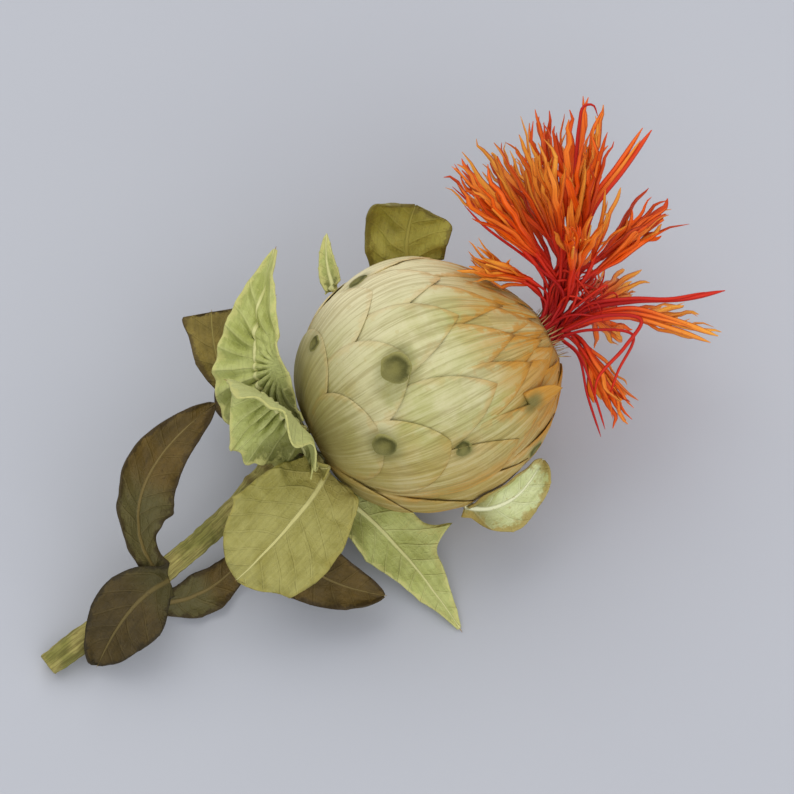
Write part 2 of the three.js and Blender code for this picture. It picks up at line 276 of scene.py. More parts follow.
def in_scene(name: str, data: bpy.types.ID) -> Piece:
    """A new object of the scene that shows the given data."""
    shown = bpy.data.objects.new(name, data)
    bpy.context.scene.collection.objects.link(shown)
    return shown


@dataclass
class Shape:
    """Points in millimetres of the head's frame, faces over them and named values for the finishes."""

    points: Array
    faces: list[Sequence[int]]
    values: dict[str, Array]

    def mesh(self, name: str, material: Material | None = None) -> Mesh:
        """A smooth Blender mesh of it, with outward faces and still in millimetres.

        Args:
            name: its name.
            material: what it is made of, if that is known yet.

        Returns:
            The new mesh.
        """
        mesh = bpy.data.meshes.new(name)
        mesh.from_pydata(self.points.tolist(), [], self.faces)
        store(mesh, self.values)
        if material:
            mesh.materials.append(material)
        face_out(mesh)
        return mesh


def face_out(mesh: Mesh) -> None:
    """Turns a closed mesh's faces outwards and shades it smooth.

    Args:
        mesh: the mesh, which is changed in place.
    """
    work = bmesh.new()
    work.from_mesh(mesh)
    bmesh.ops.recalc_face_normals(work, faces=work.faces)
    work.to_mesh(mesh)
    work.free()
    mesh.polygons.foreach_set("use_smooth", [True] * len(mesh.polygons))
    mesh.update()


def grid_faces(rows: int, columns: int, start: int = 0, wrap: bool = False) -> list[list[int]]:
    """The quads of a grid of points.

    Args:
        rows: how many rows of points.
        columns: how many points in a row.
        start: the index of the first point.
        wrap: whether each row closes into a ring.

    Returns:
        One list of four indices for each quad.
    """
    faces = []
    for row in range(start, start + (rows - 1) * columns, columns):
        for k in range(columns if wrap else columns - 1):
            a, b = row + k, row + (k + 1) % columns
            faces.append([a, a + columns, b + columns, b])
    return faces


def closed_sheet(upper: Array, lower: Array, values: Mapping[str, Array]) -> Shape:
    """A thin closed shape between two grids of points.

    Args:
        upper: rows by columns by 3, the face that looks up.
        lower: the same grid on the other side.
        values: named values, rows by columns, for both sides.

    Returns:
        The shape, with a value "underside" that is 1 on the lower face.
    """
    rows, columns = upper.shape[:2]
    count = rows * columns
    faces = grid_faces(rows, columns)
    faces += [face[::-1] for face in grid_faces(rows, columns, count)]
    last = count - columns
    for left in range(0, last, columns):
        right = left + columns - 1
        faces.append([left, left + count, left + count + columns, left + columns])
        faces.append([right, right + columns, right + count + columns, right + count])
    for k in range(columns - 1):
        faces.append([k, k + 1, k + 1 + count, k + count])
        faces.append([last + k, last + k + count, last + k + 1 + count, last + k + 1])
    both = {key: np.tile(value.ravel(), 2) for key, value in values.items()}
    both["underside"] = np.repeat([0.0, 1.0], count)
    return Shape(np.concatenate([upper.reshape(-1, 3), lower.reshape(-1, 3)]), faces, both)


def closed_tube(rings: Array, values: Mapping[str, Array]) -> Shape:
    """A closed shape out of rings of points, with the first and the last ring filled.

    Args:
        rings: rings by points by 3.
        values: named values, rings by points.

    Returns:
        The shape.
    """
    count, sides = rings.shape[:2]
    faces = grid_faces(count, sides, wrap=True)
    faces.append(list(range(sides)))
    faces.append(list(range((count - 1) * sides, count * sides)))
    return Shape(rings.reshape(-1, 3), faces, {key: value.ravel() for key, value in values.items()})


def finish_piece(name: str, meshes: Sequence[Mesh], nodes: Sequence[str] = ()) -> Piece:
    """Lays meshes down as one finished piece that rides on the head.

    Args:
        name: the piece's name.
        meshes: its meshes, in millimetres of the head's frame, with their materials.
        nodes: the frame's nodes that it stands for.

    Returns:
        The piece, at the origin with its place in its mesh.
    """
    parts = []
    for mesh in meshes:
        points = read_points(mesh)
        store(mesh, {"head_place": points})
        mesh.vertices.foreach_set("co", HeadFrame().place(points).astype(np.float32).ravel())
        mesh.update()
        parts.append(in_scene(name, mesh))
    piece = parts[0]
    if len(parts) > 1:
        with bpy.context.temp_override(active_object=piece, selected_editable_objects=parts):
            bpy.ops.object.join()
    piece.name = name
    piece.data.name = name
    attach(piece, BODY)
    if nodes:
        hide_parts(*nodes)
    triangles = sum(len(polygon.vertices) - 2 for polygon in piece.data.polygons)
    LOG.info("%s: %d triangles", name, triangles)
    return piece


# ---- node trees


class Bench:
    """Adds nodes to one tree and joins them. A value may be a number, a vector, a colour or a socket."""

    def __init__(self, tree: Tree) -> None:
        """Works on the given tree."""
        self.tree = tree

    def add(self, kind: str, feed: Feed | None = None, **settings: object) -> Node:
        """Adds a node.

        Args:
            kind: the node's type.
            feed: values for its inputs, by name or by number.
            settings: its own properties.

        Returns:
            The new node.
        """
        node = self.tree.nodes.new(kind)
        for key, value in settings.items():
            setattr(node, key, value)
        for key, value in (feed or {}).items():
            self.join(value, self.socket(node.inputs, key))
        return node

    def out(self, kind: str, feed: Feed | None = None, output: str | int = 0, **settings: object) -> Socket:
        """Adds a node and gives one of its outputs."""
        return self.socket(self.add(kind, feed, **settings).outputs, output)

    @staticmethod
    def socket(sockets: Sequence[Socket], key: str | int) -> Socket:
        """The socket in use that has a name or number."""
        if isinstance(key, int):
            return sockets[key]
        return next(s for s in sockets if s.name == key and s.enabled)

    def join(self, value: object, target: Socket) -> None:
        """Links a socket to a target, or sets the target's own value.

        Args:
            value: a socket, a number, a vector or a colour.
            target: the input that takes it.
        """
        if isinstance(value, Socket):
            self.tree.links.new(value, target)
        else:
            target.default_value = value

    def math(self, operation: str, *values: object, clamp: bool = False) -> Socket:
        """The result of one operation on numbers."""
        return self.out("ShaderNodeMath", dict(enumerate(values)), operation=operation, use_clamp=clamp)

    def times(self, *values: object) -> Socket:
        """The product of numbers."""
        return reduce(partial(self.math, "MULTIPLY"), values)

    def plus(self, *values: object) -> Socket:
        """The sum of numbers."""
        return reduce(partial(self.math, "ADD"), values)

    def vector_math(self, operation: str, *values: object) -> Socket:
        """The result of one operation on vectors."""
        return self.out("ShaderNodeVectorMath", dict(enumerate(values)), "Vector", operation=operation)

    def scaled(self, vector: object, scale: object) -> Socket:
        """A vector made longer or shorter."""
        return self.out("ShaderNodeVectorMath", {0: vector, "Scale": scale}, "Vector", operation="SCALE")

    def combine(self, x: object = 0.0, y: object = 0.0, z: object = 0.0) -> Socket:
        """A vector made of three numbers."""
        return self.out("ShaderNodeCombineXYZ", {0: x, 1: y, 2: z})

    def split(self, vector: Socket) -> list[Socket]:
        """The three numbers of a vector."""
        return list(self.add("ShaderNodeSeparateXYZ", {0: vector}).outputs)

    def band(self, value: object, low: object, high: object, start: float = 0.0, end: float = 1.0) -> Socket:
        """A smooth step of a number from start at low to end at high."""
        feed = {"Value": value, "From Min": low, "From Max": high, "To Min": start, "To Max": end}
        return self.out("ShaderNodeMapRange", feed, "Result", interpolation_type="SMOOTHSTEP")

    def mix(self, factor: object, first: object, second: object, blend: str = "MIX") -> Socket:
        """The first colour with the second mixed or, with another blend, multiplied into it."""
        feed = {0: factor, 6: first, 7: second}
        return self.out("ShaderNodeMix", feed, 2, data_type="RGBA", blend_type=blend)

    def noise(
        self, vector: Socket, scale: object, detail: float = 3.0, roughness: float = 0.55, twist: float = 0.0
    ) -> Socket:
        """A cloudy value from 0 to 1 at each place."""
        feed = {"Vector": vector, "Scale": scale, "Detail": detail, "Roughness": roughness}
        return self.out("ShaderNodeTexNoise", {**feed, "Distortion": twist})

    def value(self, name: str, output: str = "Fac") -> Socket:
        """A named value of the mesh, in a material."""
        return self.out("ShaderNodeAttribute", output=output, attribute_name=name)


class Kind(Enum):
    """Kinds of socket that a group or a geometry tree has on its outside."""

    NUMBER = "NodeSocketFloat"
    COUNT = "NodeSocketInt"
    VECTOR = "NodeSocketVector"
    GEOMETRY = "NodeSocketGeometry"
    MATERIAL = "NodeSocketMaterial"


Labels = Mapping[Kind, Sequence[str]]


class GroupBench(Bench):
    """A bench for one node group: take has the group's inputs and result its outputs."""

    tree_kind: ClassVar[str] = "ShaderNodeTree"

    def __init__(self, name: str, inputs: Labels, outputs: Labels) -> None:
        """Starts the group.

        Args:
            name: the group's name.
            inputs: the names of its inputs, by kind.
            outputs: the names of its outputs, by kind.
        """
        super().__init__(bpy.data.node_groups.new(name, self.tree_kind))
        for side, labels in (("INPUT", inputs), ("OUTPUT", outputs)):
            for kind, names in labels.items():
                for label in names:
                    self.tree.interface.new_socket(name=label, in_out=side, socket_type=kind.value)
        self.take = self.tree.nodes.new("NodeGroupInput").outputs
        self.result = self.tree.nodes.new("NodeGroupOutput").inputs

    def give(self, **results: Socket) -> Tree:
        """Joins the group's outputs and gives its finished tree."""
        for name, socket in results.items():
            self.join(socket, self.result[name])
        return self.tree


class Effects:
    """The shader groups that more than one finish uses."""

    def __init__(self) -> None:
        """Builds each group once."""
        self.fibres = self.build_fibres()
        self.blotches = self.build_blotches()
        self.veins = self.build_veins()
        self.dry_edge = self.build_dry_edge()

    @staticmethod
    def build_fibres() -> Tree:
        """Fine lines that run lengthwise: their height, and a few darker streaks.

        Returns:
            The group.
        """
        inputs = {Kind.VECTOR: ["Path"], Kind.NUMBER: ["Density"]}
        bench = GroupBench("lengthwise_fibres", inputs, {Kind.NUMBER: ["Height", "Streaks"]})
        drawn_out = bench.vector_math("MULTIPLY", bench.take["Path"], (1.0, 0.045, 1.0))
        path = bench.scaled(drawn_out, bench.take["Density"])
        coarse = bench.noise(path, 1.0, 2.0)
        fine = bench.noise(bench.vector_math("ADD", path, (0.0, 0.0, 41.0)), 2.9, 3.0, 0.6)
        height = bench.plus(bench.times(coarse, 0.6), bench.times(fine, 0.4))
        broad = bench.noise(bench.vector_math("MULTIPLY", path, (1.0, 0.4, 1.0)), 0.45, 2.0)
        streaks = bench.times(bench.band(broad, 0.5, 0.72), bench.band(fine, 0.36, 0.62))
        return bench.give(Height=height, Streaks=streaks)

    @staticmethod
    def build_blotches() -> Tree:
        """Cloudy patches and small specks, as on anything that has dried unevenly.

        Returns:
            The group.
        """
        inputs = {Kind.VECTOR: ["Place"], Kind.NUMBER: ["Size"]}
        bench = GroupBench("dried_blotches", inputs, {Kind.NUMBER: ["Patches", "Specks", "Grain"]})
        near = bench.scaled(bench.take["Place"], bench.math("DIVIDE", 1.0, bench.take["Size"]))
        return bench.give(
            Patches=bench.band(bench.noise(near, 1.0, 4.0, 0.6, 0.4), 0.34, 0.68),
            Specks=bench.band(bench.noise(near, 7.0, 2.0, 0.5), 0.64, 0.74),
            Grain=bench.noise(near, 16.0, 3.0, 0.65),
        )

    @staticmethod
    def build_veins() -> Tree:
        """A leaf's midrib, its side veins and the net between them, as masks.

        Returns:
            The group.
        """
        inputs = {Kind.NUMBER: ["Off Rib", "Phase", "Share"], Kind.VECTOR: ["Place"]}
        bench = GroupBench("leaf_veins", inputs, {Kind.NUMBER: ["Rib", "Veins", "Net"]})
        off_rib = bench.take["Off Rib"]
        place = bench.take["Place"]
        width = bench.math("SUBTRACT", 0.42, bench.times(bench.take["Share"], 0.3))
        rib = bench.band(off_rib, bench.times(width, 0.45), width, 1.0, 0.0)
        phase = bench.plus(bench.take["Phase"], bench.times(bench.noise(place, 0.55, 2.0), 0.1))
        nearest = bench.math("ABSOLUTE", bench.math("SUBTRACT", bench.math("FRACT", phase), 0.5))
        veins = bench.times(bench.band(nearest, 0.02, 0.085, 1.0, 0.0), bench.band(off_rib, 0.1, 0.4))
        feed = {"Vector": place, "Scale": 1.5, "Randomness": 0.9}
        cells = bench.out("ShaderNodeTexVoronoi", feed, "Distance", feature="DISTANCE_TO_EDGE")
        return bench.give(Rib=rib, Veins=veins, Net=bench.band(cells, 0.0, 0.13, 1.0, 0.0))

    @staticmethod
    def build_dry_edge() -> Tree:
        """A mask that is 1 at a margin and fades in an uneven line inside it.

        Returns:
            The group.
        """
        inputs = {Kind.NUMBER: ["To Margin", "Reach"], Kind.VECTOR: ["Place"]}
        bench = GroupBench("dry_edge", inputs, {Kind.NUMBER: ["Edge"]})
        wobble = bench.noise(bench.take["Place"], 0.9, 3.0, 0.6)
        reach = bench.times(bench.take["Reach"], bench.band(wobble, 0.3, 0.72, 0.25, 2.0))
        return bench.give(Edge=bench.band(bench.take["To Margin"], bench.times(reach, 0.25), reach, 1.0, 0.0))


# ---- finishes


class Coat(Bench):
    """A material while it is painted: its colour so far, and the shared effects at its own places.

    Colours are given as screen colours such as "#c8c090".
    """

    def __init__(self, name: str, effects: Effects) -> None:
        """Starts a material with the given name.

        Args:
            name: the material's name.
            effects: the shared shader groups.
        """
        self.material = bpy.data.materials.new(name)
        self.material.use_nodes = True
        super().__init__(self.material.node_tree)
        self.shader = self.tree.nodes["Principled BSDF"].inputs
        self.shader["Specular IOR Level"].default_value = DRY_SHINE
        self.effects = effects
        own = self.out("ShaderNodeTexCoord", output="Object")
        self.place = self.scaled(own, 1 / MM)

    def group(self, tree: Tree, **feed: object) -> bpy.types.bpy_prop_collection:
        """The outputs of a shared effect, with its inputs given by their names in small letters.

        Args:
            tree: the effect's group.
            feed: its inputs.

        Returns:
            Its outputs.
        """
        node = self.add("ShaderNodeGroup", node_tree=tree)
        for key, value in feed.items():
            self.join(value, node.inputs[key.replace("_", " ").title()])
        return node.outputs

    def fibres(self, path: Socket, density: float) -> bpy.types.bpy_prop_collection:
        """Lengthwise fibres along a path."""
        return self.group(self.effects.fibres, path=path, density=density)

    def cloud(self, size: float) -> bpy.types.bpy_prop_collection:
        """Dried blotches of a size in millimetres."""
        return self.group(self.effects.blotches, place=self.place, size=size)

    def edge(self, reach: float) -> Socket:
        """A mask of the dry margin."""
        return self.group(
            self.effects.dry_edge, to_margin=self.value("to_margin"), place=self.place, reach=reach
        )["Edge"]

    def between(self, first: str, second: str, *masks: object) -> Socket:
        """A first colour with a second one as far as the masks say."""
        return self.mix(self.times(*masks), tint(first), tint(second))

    def over(self, colour: str | Socket, *masks: object) -> None:
        """Lays a colour over the colour so far, as far as the masks say."""
        colour = tint(colour) if isinstance(colour, str) else colour
        self.colour = self.mix(self.times(*masks), self.colour, colour)

    def darken(self, code: str, *masks: object) -> None:
        """Multiplies a colour into the colour so far, as far as the masks say."""
        self.colour = self.mix(self.times(*masks), self.colour, tint(code), "MULTIPLY")

    def finish(self, rough: Socket, low: float, high: float) -> None:
        """Joins the colour, and a roughness that goes from low to high with a mask."""
        self.join(self.colour, self.shader["Base Color"])
        self.join(self.band(rough, 0.3, 0.7, low, high), self.shader["Roughness"])

    def relief(self, height: Socket, distance: float, strength: float) -> None:
        """Gives the surface fine relief, where a height of 1 stands for a distance in millimetres."""
        feed = {"Height": height, "Distance": distance * MM, "Strength": strength}
        self.join(self.out("ShaderNodeBump", feed), self.shader["Normal"])


class Finish:
    """What the finishes share: each has a name and paints its own coat."""

    name: str

    def material(self, effects: Effects) -> Material:
        """The finished material, made with the shared effects."""
        coat = Coat(self.name, effects)
        self.paint(coat)
        return coat.material

    def paint(self, coat: Coat) -> None:
        """Paints the coat.

        Args:
            coat: the coat.
        """
        raise NotImplementedError


@dataclass(frozen=True)
class PaperyFinish(Finish):
    """The globe's scales: pale, papery and streaked where they meet at the mouth."""

    name: str = "papery_scale"
    cream: str = "#ddd5a8"
    green: str = "#b4b36c"
    # the palest cream, for the painted light on the globe's upper side
    painted_top_light: str = "#efe4b6"
    # tan, olive and dark also paint shade: on the lower side, towards the stem and at the base.
    tan: str = "#b59c50"
    olive: str = "#8d8038"
    ochre: str = "#c88a28"
    dark: str = "#6b4a20"
    stain: str = "#6c6a35"

    def paint(self, coat: Coat) -> None:
        """Paints the scales by their place on the globe, with painted light on the upper side and painted
        shade on the lower side and towards the stem, then their fibres, margins and stains.

        Args:
            coat: the coat.
        """
        band = coat.band
        along_axis, up_side, near_side = coat.split(coat.value("head_place", "Vector"))
        tone = coat.value("tone")
        own = coat.combine(coat.times(tone, 0.35), coat.times(tone, 9.0))
        fibres = coat.fibres(coat.vector_math("ADD", coat.value("meridian", "Vector"), own), 1.9)
        cloud = coat.cloud(5.5)
        coat.colour = coat.between(self.green, self.cream, cloud["Patches"], 0.75)
        coat.over(self.tan, band(coat.noise(coat.place, 0.11, 3.0, 0.6), 0.46, 0.66, 0.0, 0.55))
        coat.over(self.cream, band(tone, 0.1, 0.9, 0.0, 0.25))
        off_mouth = band(along_axis, 13.0, 6.0)
        # Painted light: the upper side, away from the mouth, turns cream and then the palest cream, as if lit
        # from above.
        coat.over(self.cream, band(up_side, 3.0, 10.5), off_mouth, 0.9)
        coat.over(self.painted_top_light, band(up_side, 8.0, 12.5), off_mouth)
        # Painted shade: olive towards the stem end, tan on the lower side and dark brown at the base, where
        # the bracts overhang the globe.
        coat.over(self.olive, band(along_axis, -3.0, -11.5, 0.0, 0.8))
        low = coat.times(band(up_side, 1.0, -11.0), band(near_side, 13.0, 5.0, 0.3, 0.75))
        coat.over(self.tan, low, band(cloud["Grain"], 0.3, 0.62, 0.6, 1.0))
        coat.over(self.dark, band(along_axis, -10.6, -12.8, 0.0, 0.8))
        calm = band(along_axis, -12.5, -4.0, 0.3, 1.0)
        coat.over(self.cream, band(fibres["Height"], 0.5, 0.64, 0.0, 0.34), calm)
        low = band(up_side, -6.0, -12.5, 0.0, 0.65)
        near_mouth = coat.math("MAXIMUM", band(along_axis, 3.5, 12.0), low)
        coat.over(self.ochre, near_mouth, band(fibres["Streaks"], 0.02, 0.35, 0.25, 1.0), 0.95)
        coat.over(self.ochre, band(along_axis, 5.0, 10.5), band(up_side, 0.0, -4.0, 0.0, 0.6))
        edge = coat.edge(0.8)
        coat.over(self.ochre, edge, band(along_axis, 2.0, 10.0, 0.15, 0.75))
        tips = coat.times(edge, band(coat.value("share"), 0.86, 1.0))
        coat.over(self.dark, tips, band(along_axis, 5.0, 10.0, 0.0, 0.7))
        coat.darken("#a39258", band(fibres["Height"], 0.54, 0.38, 0.0, 0.4), calm)
        coat.over(self.tan, cloud["Specks"], 0.22)
        # The scars' stains, and the painted shade under the lifted tip.
        coat.over(self.stain, coat.value("stain"), 0.8)
        coat.finish(fibres["Height"], 0.62, 0.46)
        coat.relief(coat.plus(fibres["Height"], coat.times(cloud["Grain"], 0.25)), 0.2, 0.8)


@dataclass(frozen=True)
class LeafFinish(Finish):
    """A dry leaf: a blade with pale ribs, uneven patches, a browned edge and, on most blades, a painted shade
    near the root.
    """

    name: str
    blade: str
    patch: str
    rib: str
    edge: str
    underside: str
    base: str = "#8b8344"
    slot: Slot = Slot.BRACT
    base_ends: tuple[float, float] = (0.4, 0.05)
    edge_reach: float = 0.5
    vein_share: float = 0.15
    rib_share: float = 0.9

    def paint(self, coat: Coat) -> None:
        """Paints the blade, then its fibres, veins, edge and specks.

        Args:
            coat: the coat.
        """
        share = coat.value("share")
        off_rib = coat.value("off_rib")
        veins = coat.group(
            coat.effects.veins, off_rib=off_rib, phase=coat.value("vein_phase"), share=share, place=coat.place
        )
        cloud = coat.cloud(3.6)
        fibres = coat.fibres(coat.combine(off_rib, coat.value("run"), 5.2), 4.5)
        coat.colour = coat.between(self.blade, self.patch, cloud["Patches"], 0.7)
        coat.over(self.underside, coat.value("underside"), 0.75)
        # Towards the root the blade turns to its base colour: on most blades a darker painted shade in the
        # hollow at the root, on the scale tip a paler yellow-green.
        coat.over(self.base, coat.band(share, *self.base_ends, 0.0, 0.8))
        coat.darken("#8f8a60", coat.band(fibres["Height"], 0.58, 0.38), 0.2)
        coat.over(self.rib, veins["Net"], 0.07)
        coat.over(self.rib, veins["Veins"], self.vein_share)
        coat.over(self.edge, coat.edge(self.edge_reach), 0.8)
        coat.over(self.rib, veins["Rib"], self.rib_share)
        coat.over(self.edge, cloud["Specks"], 0.45)
        coat.finish(cloud["Grain"], 0.52, 0.72)
        raised = coat.math("MAXIMUM", veins["Rib"], coat.times(veins["Veins"], 0.7))
        raised = coat.math("MAXIMUM", raised, coat.times(veins["Net"], 0.25))
        grain = coat.times(cloud["Grain"], 0.5)
        coat.relief(coat.plus(raised, grain, coat.times(fibres["Height"], 0.35)), 0.14, 0.8)


def leaf_finish(name: str, codes: str, **settings: object) -> LeafFinish:
    """A leaf's finish from its screen colours, in the order of its fields."""
    return LeafFinish(name, *codes.split(), **settings)


class Leaf(Enum):
    """The finishes of the different blades, from blade and patch to rib, edge, underside and base."""

    FRESH = leaf_finish(
        "pale_green_bract", "#c3c87c #a0a650 #dedb98 #ccc87c #bcbe7c #66652c", base_ends=(0.45, 0.1)
    )
    OLIVE = leaf_finish("olive_bract", "#aba45c #8d8436 #d2ca84 #a59a4e #a09a5a #a1954e", vein_share=0.08)
    TIP = leaf_finish(
        "scale_tip_green",
        "#a0953c #746a1e #b9ad58 #6f6226 #a9a566 #b5ab50",
        slot=Slot.SCALE_TIP,
        base_ends=(0.62, 0.3),
        edge_reach=0.7,
        rib_share=0.3,
    )
    PALE = leaf_finish(
        "pale_scale_tip", "#dadfa6 #b4bc6c #f0efc4 #a98f44 #c3c491", slot=Slot.SCALE_TIP, edge_reach=0.8
    )
    UMBER = leaf_finish("umber_bract", "#94803a #6a5b22 #9a8a48 #4d3c1c #8c7e50", slot=Slot.BROWN_LEAF)
    BROWN = leaf_finish(
        "withered_leaf",
        "#695322 #463812 #7a6838 #382a10 #6b6034 #605b34",
        slot=Slot.BROWN_LEAF,
        base_ends=(0.62, 0.4),
    )
    DARK = leaf_finish(
        "dark_withered_leaf", "#52421c #392e10 #6b5c30 #2c230c #5a5230 #4d4824", slot=Slot.BROWN_LEAF
    )


@dataclass(frozen=True)
class FloretFinish(Finish):
    """Florets: deep red tubes, orange lobes with redder margins that also carry painted shade between the
    lobes, and yellower tips here and there.
    """

    name: str = "dry_floret"
    tube: str = "#bb100e"
    throat: str = "#ea3406"
    lobe: str = "#ff6a04"
    glow: str = "#ffbe42"
    margin: str = "#a81606"

    def paint(self, coat: Coat) -> None:
        """Paints the florets by how ripe they are, then their margins, fibres and specks.

        Args:
            coat: the coat.
        """
        band = coat.band
        ripeness = coat.value("ripeness")
        tone = coat.value("tone")
        across = coat.value("across")
        fibres = coat.fibres(coat.combine(across, coat.value("run"), tone), 3.0)
        coat.colour = coat.between(self.tube, self.throat, band(ripeness, 0.1, 0.5))
        coat.over(self.lobe, band(ripeness, 0.45, 0.85))
        coat.over(self.glow, band(ripeness, 0.55, 1.1), band(tone, 0.1, 0.9), 0.85)
        # Redder margins, their own colour, made darker still as painted shade where lobes and tubes lie
        # against each other.
        coat.over(self.margin, band(coat.math("ABSOLUTE", across), 0.6, 1.0), 0.65)
        coat.over(self.margin, band(tone, 0.2, 0.0), 0.5)
        coat.darken("#c8542a", band(fibres["Height"], 0.58, 0.36), 0.5)
        coat.over(self.tube, coat.cloud(2.4)["Specks"], 0.3)
        coat.finish(fibres["Height"], 0.6, 0.42)
        coat.relief(fibres["Height"], 0.08, 0.8)


@dataclass(frozen=True)
class StemFinish(Finish):
    """The stem: straw coloured, ribbed, with greener and browner lengths and a pale pithy end."""

    name: str = "dry_stem"
    straw: str = "#b0a45e"
    green: str = "#86833e"
    brown: str = "#6b582a"
    pith: str = "#d8cfa6"
    pores: str = "#a5976a"

    def paint(self, coat: Coat) -> None:
        """Paints the stem, its grooves and knots, and the pith at its cut.

        Args:
            coat: the coat.
        """
        fibres = coat.fibres(coat.combine(coat.value("across"), coat.value("run"), 7.0), 5.0)
        cloud = coat.cloud(3.2)
        coat.colour = coat.between(self.straw, self.green, cloud["Patches"])
        coat.darken("#85784c", coat.band(fibres["Height"], 0.6, 0.38), 0.6)
        coat.over(self.brown, coat.value("knot"), 0.7)
        coat.over(self.brown, cloud["Specks"], 0.5)
        pith = coat.between(self.pores, self.pith, coat.band(coat.noise(coat.place, 5.5, 2.0), 0.42, 0.62))
        coat.over(pith, coat.value("pith"))
        coat.finish(cloud["Grain"], 0.6, 0.82)
        coat.relief(coat.plus(fibres["Height"], coat.times(cloud["Grain"], 0.4)), 0.12, 0.9)


@dataclass(frozen=True)
class ScarFinish(Finish):
    """A healed scar: an olive-brown ring round a lighter, uneven middle."""

    name: str = "leaf_scar"
    ring: str = "#565422"
    middle: str = "#7f7a3e"
    lip: str = "#a39d5c"

    def paint(self, coat: Coat) -> None:
        """Paints the scar from its middle to its lip, which is paler on the side towards the light.

        Args:
            coat: the coat.
        """
        cloud = coat.cloud(2.2)
        out = coat.plus(coat.value("share"), coat.band(cloud["Patches"], 0.0, 1.0, -0.1, 0.12))
        coat.colour = coat.between(self.middle, self.ring, coat.band(out, 0.1, 0.75))
        coat.over(self.lip, coat.band(coat.value("shade_side"), 0.4, -0.9, 0.0, 0.5))
        coat.over(self.lip, coat.band(out, 0.75, 1.2))
        coat.darken("#8c8458", cloud["Grain"], 0.4)
        coat.finish(cloud["Grain"], 0.6, 0.85)
        coat.relief(cloud["Grain"], 0.06, 0.7)


@dataclass(frozen=True)
class BristleFinish(Finish):
    """Stiff bristles and spines: straw coloured, darker towards their tips."""

    name: str = "straw_bristle"
    straw: str = "#d6c78c"
    tip: str = "#96692c"

    def paint(self, coat: Coat) -> None:
        """Paints the bristles from foot to tip.

        Args:
            coat: the coat.
        """
        cloud = coat.cloud(1.6)
        coat.colour = coat.between(self.straw, self.tip, coat.band(coat.value("share"), 0.3, 1.0))
        coat.darken("#a89a6a", cloud["Grain"], 0.5)
        coat.finish(cloud["Grain"], 0.45, 0.65)


@dataclass(frozen=True)
class FloorFinish(Finish):
    """A pale matte floor."""

    name: str = "pale_floor"
    pale: str = "#bbbdc3"
    cool: str = "#b7b9c0"

    def paint(self, coat: Coat) -> None:
        """Paints the floor with wide faint clouds.

        Args:
            coat: the coat.
        """
        coat.colour = coat.between(self.pale, self.cool, coat.cloud(60.0)["Patches"], 0.3)
        coat.join(coat.colour, coat.shader["Base Color"])
        coat.shader["Roughness"].default_value = 0.9


# ---- geometry trees


class TreeBench(GroupBench):
    """A bench for one geometry tree, which takes and gives a Geometry and has a Material."""

    tree_kind: ClassVar[str] = "GeometryNodeTree"

    def __init__(self, name: str, inputs: Labels) -> None:
        """Starts the tree, with its own inputs between the two that all have."""
        geometry = {Kind.GEOMETRY: ["Geometry"]}
        super().__init__(name, {**geometry, **inputs, Kind.MATERIAL: ["Material"]}, geometry)

    def random(self, low: object, high: object, seed: object) -> Socket:
        """A random number for each element."""
        feed = {"Min": low, "Max": high, "Seed": seed}
        return self.out("FunctionNodeRandomValue", feed, "Value", data_type="FLOAT")

    def read(self, name: str, kind: str = "FLOAT") -> Socket:
        """A named value of the geometry."""
        return self.out("GeometryNodeInputNamedAttribute", {"Name": name}, "Attribute", data_type=kind)

    def write(self, geometry: Socket, name: str, value: Socket, domain: str = "POINT") -> Socket:
        """The geometry with a named value stored on it."""
        feed = {"Geometry": geometry, "Name": name, "Value": value}
        return self.out("GeometryNodeStoreNamedAttribute", feed, data_type="FLOAT", domain=domain)

    def copies(self, points: Socket, shape: Socket, **feed: object) -> Socket:
        """Copies of a shape on points."""
        return self.out("GeometryNodeInstanceOnPoints", {"Points": points, "Instance": shape, **feed})

    def real(self, geometry: Socket) -> Socket:
        """The geometry with its copies made real."""
        return self.out("GeometryNodeRealizeInstances", {"Geometry": geometry})

    def dressed(self, geometry: Socket) -> Tree:
        """Ends the tree with real geometry that has its Material."""
        feed = {"Geometry": self.real(geometry), "Material": self.take["Material"]}
        return self.give(Geometry=self.out("GeometryNodeSetMaterial", feed))


